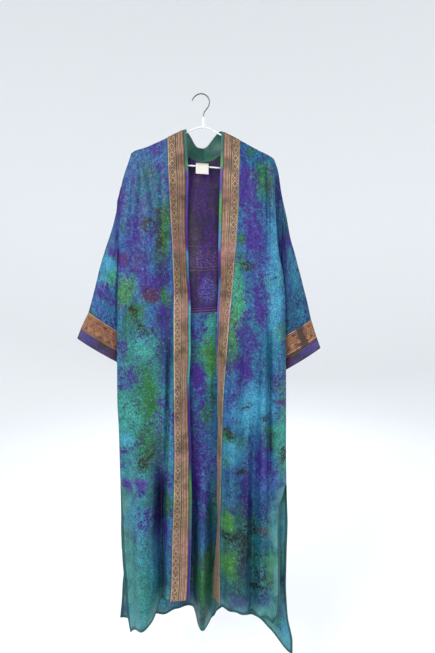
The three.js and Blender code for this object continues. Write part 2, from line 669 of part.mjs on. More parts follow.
add("back_yoke", wall(yoke.grid, normalsOf(yoke.grid, yoke.fixed), SILK), darkSilk);
const skirt = skirtGrid(24);
add("back_skirt", wall(skirt.grid, normalsOf(skirt.grid, skirt.fixed), SILK), silk);

// ---- sleeves and cuffs ----
for (const hand of ["left", "right"]) {
  const out = hand === "left" ? -1 : 1;
  const edge = (grid, index) => grid.slice(0, ARMHOLE_ROWS + 1).map((row) => row[index < 0 ? row.length - 1 : index]);
  const rings = sleeveRings(hand, edge(fronts[hand].grid, -1), edge(yoke.grid, hand === "left" ? 0 : -1));
  const fixedFirst = {};
  for (let i = 0; i < 2 * SLEEVE_AROUND; i += 1) {
    if (i === 0) fixedFirst[i] = V([out * 0.7, 0, 1]).normalize();
    else if (i === SLEEVE_AROUND) fixedFirst[i] = V([out * 0.2, 0, -1]).normalize();
    else fixedFirst[i] = V([0, i < SLEEVE_AROUND ? -1 : 1, 0]);
  }
  const normals = normalsOf(rings, [fixedFirst], true);
  const last = rings.length - 1;
  // one piece of the tube from ring a to ring b, starting a seam's gap further on
  const piece = (a, b) => {
    const part = rings.slice(a, b + 1).map((r) => r.map((p) => [...p]));
    if (a > 0)
      part[0] = part[0].map((p, i) => {
        const way = V(rings[a + 1][i]).sub(V(p));
        return V(p).addScaledVector(way.normalize(), SEAM * 1.6).toArray();
      });
    return [part, normals.slice(a, b + 1)];
  };
  add(`sleeve_${hand}`, wall(...piece(0, last - 2), SILK, true), silk);
  add(`cuff_border_${hand}`, wall(...piece(last - 2, last - 1), BROCADE, true), brocade);
  add(`cuff_hem_${hand}`, wall(...piece(last - 1, last), SILK, true), darkSilk);
}

// ---- label: hangs from the back neck seam and falls over the hanger's bar, bare ----
{
  const [width, left] = [36, -16];
  // y and z of the label's rows, from the neck seam down
  const rows = [[12.6, -183.5], [6.5, -186], [0, -188.5], [-5.4, -192.5], [-7, -199], [-7.6, -218]];
  const grid = rows.map(([y, z]) => [0, 0.5, 1].map((t) => [left + width * t, y + 1.2 * (t - 0.5), z - 0.06 * width * t]));
  add("label", wall(grid, normalsOf(grid), 1), whiteCloth);
}

// ---- hanger: one closed loop of arms and bar, with a neck that takes the hook ----
const wasm = await Module();
wasm.setup();
function solid(geometry) {
  const g = geometry.index ? geometry.clone() : mergeBare(geometry);
  g.deleteAttribute("normal");
  g.deleteAttribute("uv");
  const m = mergeVertices(g, 1e-4);
  return new wasm.Manifold(
    new wasm.Mesh({ numProp: 3, vertProperties: new Float32Array(m.attributes.position.array), triVerts: new Uint32Array(m.index.array) }),
  );
}
function mergeBare(geometry) {
  const g = geometry.clone();
  g.deleteAttribute("normal");
  g.deleteAttribute("uv");
  return mergeVertices(g, 1e-4);
}
function fromSolid(s) {
  const { vertProperties, triVerts } = s.getMesh();
  const g = new THREE.BufferGeometry();
  g.setAttribute("position", new THREE.Float32BufferAttribute(vertProperties, 3));
  g.setIndex([...triVerts]);
  return g;
}
// Centre line of the loop in the hanger's plane: x, z
const LOOP = [
  [5, -89], [-43, -103.5], [-96, -126.5], [-158, -153], [-184, -162], [-193, -166.5], [-196, -173], [-191, -180],
  [-178, -182], [-100, -189], [3, -197], [110, -205.5], [188, -211.5], [200, -209], [203.5, -200], [199, -190],
  [188, -180.5], [159, -162.5], [112, -139], [56, -110.5],
];
const ARM_HALF = [2.4, 3]; // half height and half depth of the loop's section
{
  const path = new THREE.CatmullRomCurve3(LOOP.map(([x, z]) => new THREE.Vector3(x, 0, z)), true, "centripetal");
  const steps = 52;
  const sides = 8;
  const positions = [];
  const index = [];
  for (let k = 0; k < steps; k += 1) {
    const p = path.getPoint(k / steps);
    const t = path.getTangent(k / steps);
    const n = new THREE.Vector3(-t.z, 0, t.x).normalize();
    for (let i = 0; i < sides; i += 1) {
      const a = (2 * Math.PI * (i + 0.5)) / sides;
      const q = p.clone().addScaledVector(n, ARM_HALF[0] * Math.cos(a));
      positions.push(q.x, ARM_HALF[1] * Math.sin(a), q.z);
    }
  }
  for (let k = 0; k < steps; k += 1)
    for (let i = 0; i < sides; i += 1) {
      const [a, b] = [k * sides + i, k * sides + ((i + 1) % sides)];
      const [c, d] = [((k + 1) % steps) * sides + ((i + 1) % sides), ((k + 1) % steps) * sides + i];
      index.push(a, b, c, a, c, d);
    }
  const loop = solid(outward(positions, index));
  const neckLength = 30;
  const neck = new THREE.CylinderGeometry(3.4, 4.6, neckLength, 16);
  neck.rotateX(Math.PI / 2);
  neck.translate(5.5, 0, -61 - neckLength / 2);
  const bore = new THREE.CylinderGeometry(1.75 + SEAM, 1.75 + SEAM, 22, 16);
  bore.rotateX(Math.PI / 2);
  bore.translate(5.5, 0, -68);
  add("hanger_frame", fromSolid(loop.add(solid(neck)).subtract(solid(bore))), whitePlastic);
}
// Hook: one wire from its tip over the seat and down into the neck: x, z of its centre line
const HOOK_WIRE = 1.75; // radius
const HOOK = [
  [-25.5, -17], [-24, -12.5], [-19, -6.5], [-11, -0.6], [0, 1.75], [11, -1.2], [19, -8.5], [22.5, -19], [20.5, -30.5],
  [14.5, -40], [8.5, -47.5], [5.7, -56], [5.5, -66], [5.5, -77.5],
];
{
  const path = new THREE.CatmullRomCurve3(HOOK.map(([x, z]) => new THREE.Vector3(x, 0, z)), false, "centripetal");
  const section = new THREE.Shape();
  section.absarc(0, 0, HOOK_WIRE, 0, 2 * Math.PI, false);
  const wire = new THREE.ExtrudeGeometry(section, { steps: 28, curveSegments: 4, bevelEnabled: false, extrudePath: path });
  add("hanger_hook", mergeBare(wire), steel);
}

export default robe;
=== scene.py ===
import math

import bpy
import numpy as np
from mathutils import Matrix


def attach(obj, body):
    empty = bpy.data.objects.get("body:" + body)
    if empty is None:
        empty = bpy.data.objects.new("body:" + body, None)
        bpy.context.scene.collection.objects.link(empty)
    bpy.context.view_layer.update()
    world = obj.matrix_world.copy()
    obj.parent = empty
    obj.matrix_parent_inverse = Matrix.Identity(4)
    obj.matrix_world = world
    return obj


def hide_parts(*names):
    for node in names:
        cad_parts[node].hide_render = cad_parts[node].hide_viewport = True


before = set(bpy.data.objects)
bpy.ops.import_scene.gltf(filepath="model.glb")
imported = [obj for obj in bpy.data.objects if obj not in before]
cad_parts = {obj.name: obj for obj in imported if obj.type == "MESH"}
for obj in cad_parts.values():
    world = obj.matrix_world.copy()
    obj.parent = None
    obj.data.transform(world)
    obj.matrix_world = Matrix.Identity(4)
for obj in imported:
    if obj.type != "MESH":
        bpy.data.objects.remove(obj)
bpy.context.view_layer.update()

# Long kimono robe on a slim hanger. The tables and functions give the same mid-surfaces as the solids in the frame, in
# millimetres, on finer grids. Creases, rolled hems, stitching and the finish of the cloth are added here.

# ---------------------------------------------------------------- sizes shared with the solids
CLOTH = 0.8        # thickness of the silk shells
ARM_WRAP = 6.6
BAND = 58.0
BORDER_FROM, BORDER_TO = 1.6, 49.6
BAND_ROLL = 8.0
BODY_MID = 2.0
SLIT_TOP, SLIT_FREE = -1125.0, -1360.0
EDGE_OPEN = 0.85
UNDERARM = {"left": -431.0, "right": -440.0}
SHOULDER = [(-198, -161), (-187, -154), (-158, -145), (-120, -129), (-96, -118), (-43, -94), (4, -78), (50, -97),
            (112, -127), (159, -152), (196, -170), (205, -178)]
# z, x, turn of the band
FRONT_EDGE = {
    "left": [(-118, -96, 0), (-198, -94, 3.5), (-232, -93, 13), (-275, -91.5, 25), (-358, -87.5, 36), (-458, -82.5, 42), (-556, -80.5, 39), (-710, -81, 35), (-860, -81.5, 41), (-1007, -81, 37), (-1157, -84, 24), (-1309, -90, 12), (-1402, -92, 14), (-1468, -97, 8)],
    "right": [(-126, 109, 4), (-195, 107, 13), (-295, 105, 20), (-405, 99, 28), (-458, 95, 36), (-556, 87, 45), (-607, 81.5, 51), (-710, 73.5, 59), (-860, 62.5, 71), (-1007, 58, 76), (-1100, 56, 79), (-1218, 53, 82), (-1300, 51.5, 80), (-1370, 51.5, 74), (-1433, 53, 67), (-1470, 54, 65)],
}
# z, x of the front, x of the back
SIDE = {
    "left": [(-161, -198, -198), (-195, -202, -202), (-248, -212, -212), (-326, -227, -227), (-402, -236, -236), (-431, -238, -238), (-574, -244, -244), (-754, -248, -248), (-867, -249, -249), (-957, -246, -246), (-1109, -244, -244), (-1150, -241, -243), (-1210, -240, -244), (-1288, -238, -247), (-1330, -236, -247), (-1356, -234.5, -243), (-1404, -231.5, -242), (-1445, -230, -246), (-1504, -226.5, -250), (-1542, -220.5, -254), (-1580, -214, -258)],
    "right": [(-178, 205, 205), (-226, 204, 204), (-300, 207, 207), (-402, 214, 214), (-440, 221, 221),
              (-490, 232, 232), (-574, 241, 241), (-778, 245, 245), (-1018, 248, 248), (-1109, 249, 250),
              (-1150, 241, 251), (-1190, 231, 253), (-1256, 227, 256), (-1346, 228, 254), (-1438, 229, 252),
              (-1500, 225, 255), (-1536, 211, 258), (-1620, 205, 273), (-1652, 203, 273)],
}
HEM = {
    "left": [(-220, -1579), (-214, -1566), (-201, -1550), (-188, -1539), (-170, -1527), (-157, -1518), (-141, -1506), (-130, -1482), (-119, -1468), (-108, -1464), (-97, -1464)],
    "right": [(54, -1474), (72, -1471), (95, -1476), (118, -1491), (143, -1506), (160, -1507), (181, -1508), (196, -1522), (211, -1535), (224, -1531)],
}
HEM_BACK = [(-257, -1557), (-237, -1555), (-196, -1553), (-142, -1547), (-110, -1540), (-82, -1532), (-53, -1528), (-32, -1526), (-22, -1538), (-14, -1551), (-4, -1552), (8, -1553), (20, -1558), (32, -1556), (44, -1537), (60, -1531), (98, -1540), (152, -1550), (183, -1575), (213, -1601), (246, -1633), (262, -1646), (273, -1652)]
# drop below the shoulder, left front, right front, back
DEPTH = [(0, 0, 0, 0), (14, 1.2, 3.5, 1.5), (38, 3, 9, 4), (76, 6, 16, 7), (180, 12, 18, 12), (330, 16, 22, 16),
         (580, 20, 26, 20), (880, 25, 30, 22), (1180, 29, 32, 23), (1460, 34, 32, 24)]
# z start, z full, z gone, x start, x hem, half width start, half width hem, depth
FOLDS = {
    "left": [(-600, -800, -1150, -93, -116, 8, 12, -14), (-1000, -1160, 0, -120, -126, 22, 22, -33),
             (-600, -1500, 0, -184, -168, 54, 44, 44), (-260, -560, -1150, -140, -132, 30, 26, 9),
             (-430, -640, -1100, -206, -212, 24, 22, 7), (-1180, -1480, 0, -214, -222, 18, 20, -8)],
    "right": [(-380, -900, 0, 96, 82, 40, 34, 32), (-1120, -1480, 0, 122, 112, 30, 28, 22),
              (-760, -1110, 0, 152, 148, 24, 20, -19), (-420, -800, 0, 176, 176, 22, 24, 13),
              (-560, -740, -1200, 193, 198, 13, 12, -15), (-620, -900, 0, 220, 216, 16, 16, 8),
              (-150, -260, -520, 186, 198, 13, 13, -9)],
    "back": [(-1000, -1500, 0, 3, 0, 34, 32, 72), (-700, -1400, 0, -52, -50, 30, 28, -9),
             (-620, -1350, 0, -110, -118, 34, 30, 12), (-520, -1300, 0, -170, -180, 32, 30, -10),
             (-900, -1450, 0, -222, -226, 24, 24, 9), (-640, -1300, 0, 70, 72, 30, 28, -10),
             (-760, -1400, 0, 122, 128, 28, 26, 11), (-560, -1350, 0, 176, 182, 28, 26, -9),
             (-1150, -1600, 0, 262, 268, 60, 62, 34), (-220, -420, -900, -120, -112, 36, 34, -8),
             (-220, -420, -900, 118, 108, 36, 34, -8), (-260, -500, -1000, 0, 4, 40, 40, 7)],
}
NECK_SEAM = [(-96, -118), (-70, -146), (-44, -163), (-20, -176), (4, -181), (28, -177), (52, -163), (80, -146),
             (109, -126)]
# top x, z, y, under x, z, y, bow, half depth
SLEEVE = {
    "left": [(-198, -161, 0, -238, -431, 0, -4, 16), (-205, -180, 1, -242, -443, 8, -10, 15),
             (-213, -204, 2, -244, -462, 18, -13, 20), (-220, -233, 3, -240, -488, 26, -12, 15),
             (-229, -272, 4, -232, -520, 32, -10, 19), (-240, -310, 4, -223, -552, 36, -8, 16),
             (-256, -368, 5, -213, -590, 39, -5, 16), (-274, -419, 5, -203, -622, 41, -3, 15),
             (-291, -470, 6, -193, -655, 42, -2, 14), (-309, -537, 6, -180, -687, 43, 0, 13),
             (-329, -610, 6, -165, -722, 43, 0, 12)],
    "right": [(205, -178, 0, 221, -440, 0, -6, 16), (211, -192, 1, 226, -452, 8, 1, 14),
              (218, -216, 2, 230, -470, 18, 3, 21), (223, -248, 3, 229, -495, 26, 5, 14),
              (230, -288, 4, 222, -526, 32, 6, 20), (242, -338, 4, 214, -560, 36, 6, 15),
              (254, -396, 5, 204, -598, 39, 5, 17), (267, -439, 5, 193, -630, 41, 3, 15),
              (281, -488, 6, 180, -662, 42, 2, 14), (299, -558, 6, 166, -698, 43, 0, 13),
              (317, -632, 6, 149, -737, 43, 0, 12)],
}
CUFF = {
    "left": [(-329, -610, 6, -165, -722, 43, 0, 12), (-353, -658, 6, -187, -768, 43, 0, 12),
             (-364, -686, 6, -199, -794, 43, 0, 12.5)],
    "right": [(317, -632, 6, 149, -737, 43, 0, 12), (336, -687, 6, 172, -797, 43, 0, 12),
              (346, -714, 6, 182, -825, 43, 0, 12.5)],
}
# x of the neck seam, the free edge's x, y, z, bulge
COLLAR = {
    "left": [(-88, -41, 9, -98, 0), (-76, -36, 16, -103, 1), (-62, -30, 25, -111, 2), (-44, -22, 35, -124, 3),
             (-22, -12, 43, -133, 4), (4, 4, 46, -135, 4)],
    "right": [(100, 47, 9, -100, 0), (88, 41, 17, -105, 1), (72, 34, 26, -111, 2), (52, 25, 35, -120, 3),
              (28, 14, 43, -131, 4), (4, 4, 46, -135, 4)],
}
LOOP = [(5, -89), (-43, -103.5), (-96, -126.5), (-158, -153), (-184, -162), (-193, -166.5), (-196, -173),
        (-191, -180), (-178, -182), (-100, -189), (3, -197), (110, -205.5), (188, -211.5), (200, -209), (203.5, -200),
        (199, -190), (188, -180.5), (159, -162.5), (112, -139), (56, -110.5)]
HOOK = [(-25.5, -17), (-24, -12.5), (-19, -6.5), (-11, -0.6), (0, 1.75), (11, -1.2), (19, -8.5), (22.5, -19),
        (20.5, -30.5), (14.5, -40), (8.5, -47.5), (5.7, -56), (5.5, -66), (5.5, -77.5)]

# ---------------------------------------------------------------- creases placed one by one
# x, z at one end, x, z at the other, half width at each end, depth (positive towards the front on a front, and
# towards the front on the back too), in mm
CREASES = {
    "front_left": [
        (-118, -190, -112, -560, 9, 13, -2.6), (-150, -240, -160, -700, 12, 16, 2.8), (-172, -200, -196, -520, 10, 15, -2.4),
        (-196, -250, -222, -430, 9, 12, 2.0), (-206, -330, -180, -600, 8, 12, -2.2), (-130, -420, -138, -900, 9, 12, -3.0),
        (-100, -330, -98, -640, 6, 8, 1.8), (-214, -470, -222, -860, 9, 12, 2.6), (-188, -640, -200, -1060, 10, 13, -3.2),
        (-158, -760, -150, -1180, 10, 12, 3.0), (-232, -620, -234, -1040, 6, 8, -2.0), (-216, -960, -206, -1400, 9, 12, -3.0),
        (-176, -1120, -186, -1500, 9, 13, 2.6), (-196, -1190, -212, -1520, 7, 9, -2.6), (-152, -1230, -146, -1480, 6, 8, -2.2),
        (-104, -900, -102, -1440, 6, 8, 2.4), (-228, -480, -196, -570, 7, 10, -2.2), (-230, -440, -176, -500, 6, 9, 1.8),
        (-168, -170, -132, -330, 9, 12, -1.8), (-190, -168, -178, -300, 7, 11, 1.6),
    ],
    "front_right": [
        (120, -170, 128, -520, 9, 12, -2.4), (150, -190, 158, -640, 11, 14, 2.8), (176, -210, 180, -560, 8, 11, -3.2),
        (194, -230, 204, -600, 7, 9, 2.6), (186, -190, 190, -420, 5, 7, -2.6), (214, -480, 222, -900, 8, 10, -2.8),
        (136, -420, 128, -860, 10, 13, 2.8), (110, -330, 98, -700, 8, 10, -2.2), (232, -560, 236, -980, 6, 7, 2.2),
        (164, -620, 166, -1080, 8, 11, -3.2), (206, -700, 212, -1120, 7, 9, -2.6), (104, -760, 96, -1240, 8, 10, -2.8),
        (134, -960, 128, -1420, 8, 10, 3.0), (182, -980, 178, -1440, 9, 11, 2.8), (160, -1190, 166, -1500, 7, 9, 3.0),
        (200, -1160, 204, -1500, 7, 9, -3.0), (86, -1120, 84, -1460, 6, 8, 2.2), (222, -540, 190, -640, 7, 9, -2.0),
        (228, -480, 186, -540, 6, 9, 1.8), (142, -166, 120, -300, 8, 10, -1.8),
    ],
    "back": [
        (-30, -330, -24, -760, 11, 14, -2.4), (34, -300, 40, -800, 10, 13, 2.2), (-84, -260, -90, -700, 12, 15, 2.6),
        (88, -280, 92, -640, 11, 14, -2.4), (-150, -300, -160, -760, 11, 14, -2.8), (150, -300, 160, -800, 11, 14, 2.6),
        (-204, -460, -212, -900, 9, 11, 2.4), (206, -480, 214, -900, 9, 11, -2.4), (-70, -680, -78, -1180, 10, 13, -3.0),
        (-140, -700, -146, -1240, 10, 12, 3.0), (-196, -860, -202, -1400, 9, 12, -3.0), (96, -700, 98, -1260, 10, 12, 3.0),
        (148, -760, 152, -1300, 9, 12, -3.0), (200, -880, 206, -1420, 9, 12, 3.0), (-16, -700, -22, -1120, 8, 9, -2.4),
        (22, -640, 20, -1080, 8, 9, 2.0), (-100, -1160, -98, -1500, 8, 10, -2.4), (-168, -1200, -160, -1530, 8, 10, 2.6),
        (120, -1200, 116, -1510, 8, 10, -2.4), (176, -1260, 186, -1530, 8, 10, 2.4), (46, -1100, 48, -1500, 7, 9, -2.4),
        (-44, -1140, -46, -1500, 7, 9, 2.2), (230, -1240, 246, -1560, 8, 10, -3.0),
    ],
}
# sleeves: share along at each end, share across at each end (0 outer fold, 1 underarm), half width, depth, side (-1 front)
SLEEVE_CREASES = {
    "left": [(0.02, 0.75, 0.16, 0.22, 0.045, -2.6, -1), (0.04, 0.95, 0.34, 0.42, 0.06, 2.6, -1), (0.0, 0.6, 0.52, 0.62, 0.06, -2.4, -1),
             (0.2, 1.0, 0.7, 0.62, 0.05, -2.0, -1), (0.35, 1.0, 0.24, 0.2, 0.05, 2.0, -1), (0.05, 0.8, 0.3, 0.4, 0.06, -2.4, 1),
             (0.1, 0.95, 0.6, 0.66, 0.06, 2.6, 1), (0.3, 1.0, 0.46, 0.5, 0.05, -2.0, 1)],
    "right": [(0.0, 0.7, 0.12, 0.2, 0.04, -3.2, -1), (0.02, 0.85, 0.22, 0.32, 0.045, 3.2, -1), (0.02, 0.9, 0.34, 0.46, 0.05, -3.0, -1),
              (0.1, 1.0, 0.5, 0.6, 0.05, 2.4, -1), (0.3, 1.0, 0.72, 0.7, 0.05, -2.2, -1), (0.05, 0.8, 0.28, 0.36, 0.06, 2.4, 1),
              (0.1, 0.95, 0.56, 0.62, 0.06, -2.6, 1), (0.3, 1.0, 0.42, 0.48, 0.05, 2.0, 1)],
}

# ---------------------------------------------------------------- the dye, with some painted shade and painted light
# linear colours of the dyes, named; the navy one is used only in the deep fold beside the left band, partly dye and
# partly painted shade
def srgb(r, g, b):
    def lin(c):
        c /= 255
        return c / 12.92 if c <= 0.04045 else ((c + 0.055) / 1.055) ** 2.4
    return np.array([lin(r), lin(g), lin(b)])

DYES = {
    "blue": srgb(60, 114, 164), "teal": srgb(34, 122, 146), "teal2": srgb(70, 166, 152), "deepteal": srgb(10, 90, 116),
    "sky": srgb(84, 172, 196), "green": srgb(44, 124, 52), "green2": srgb(72, 176, 122), "lime": srgb(84, 152, 62),
    "olive": srgb(46, 44, 18), "violet": srgb(72, 22, 132), "purple": srgb(92, 24, 150), "indigo": srgb(26, 8, 108),
    "maroon": srgb(98, 14, 62), "dark": srgb(26, 14, 34), "black": srgb(12, 4, 18), "brown": srgb(64, 40, 34),
    "plum": srgb(50, 8, 98), "lilac": srgb(104, 96, 196), "navy_recess_shade": srgb(6, 4, 70), "collar": srgb(22, 80, 70),
}
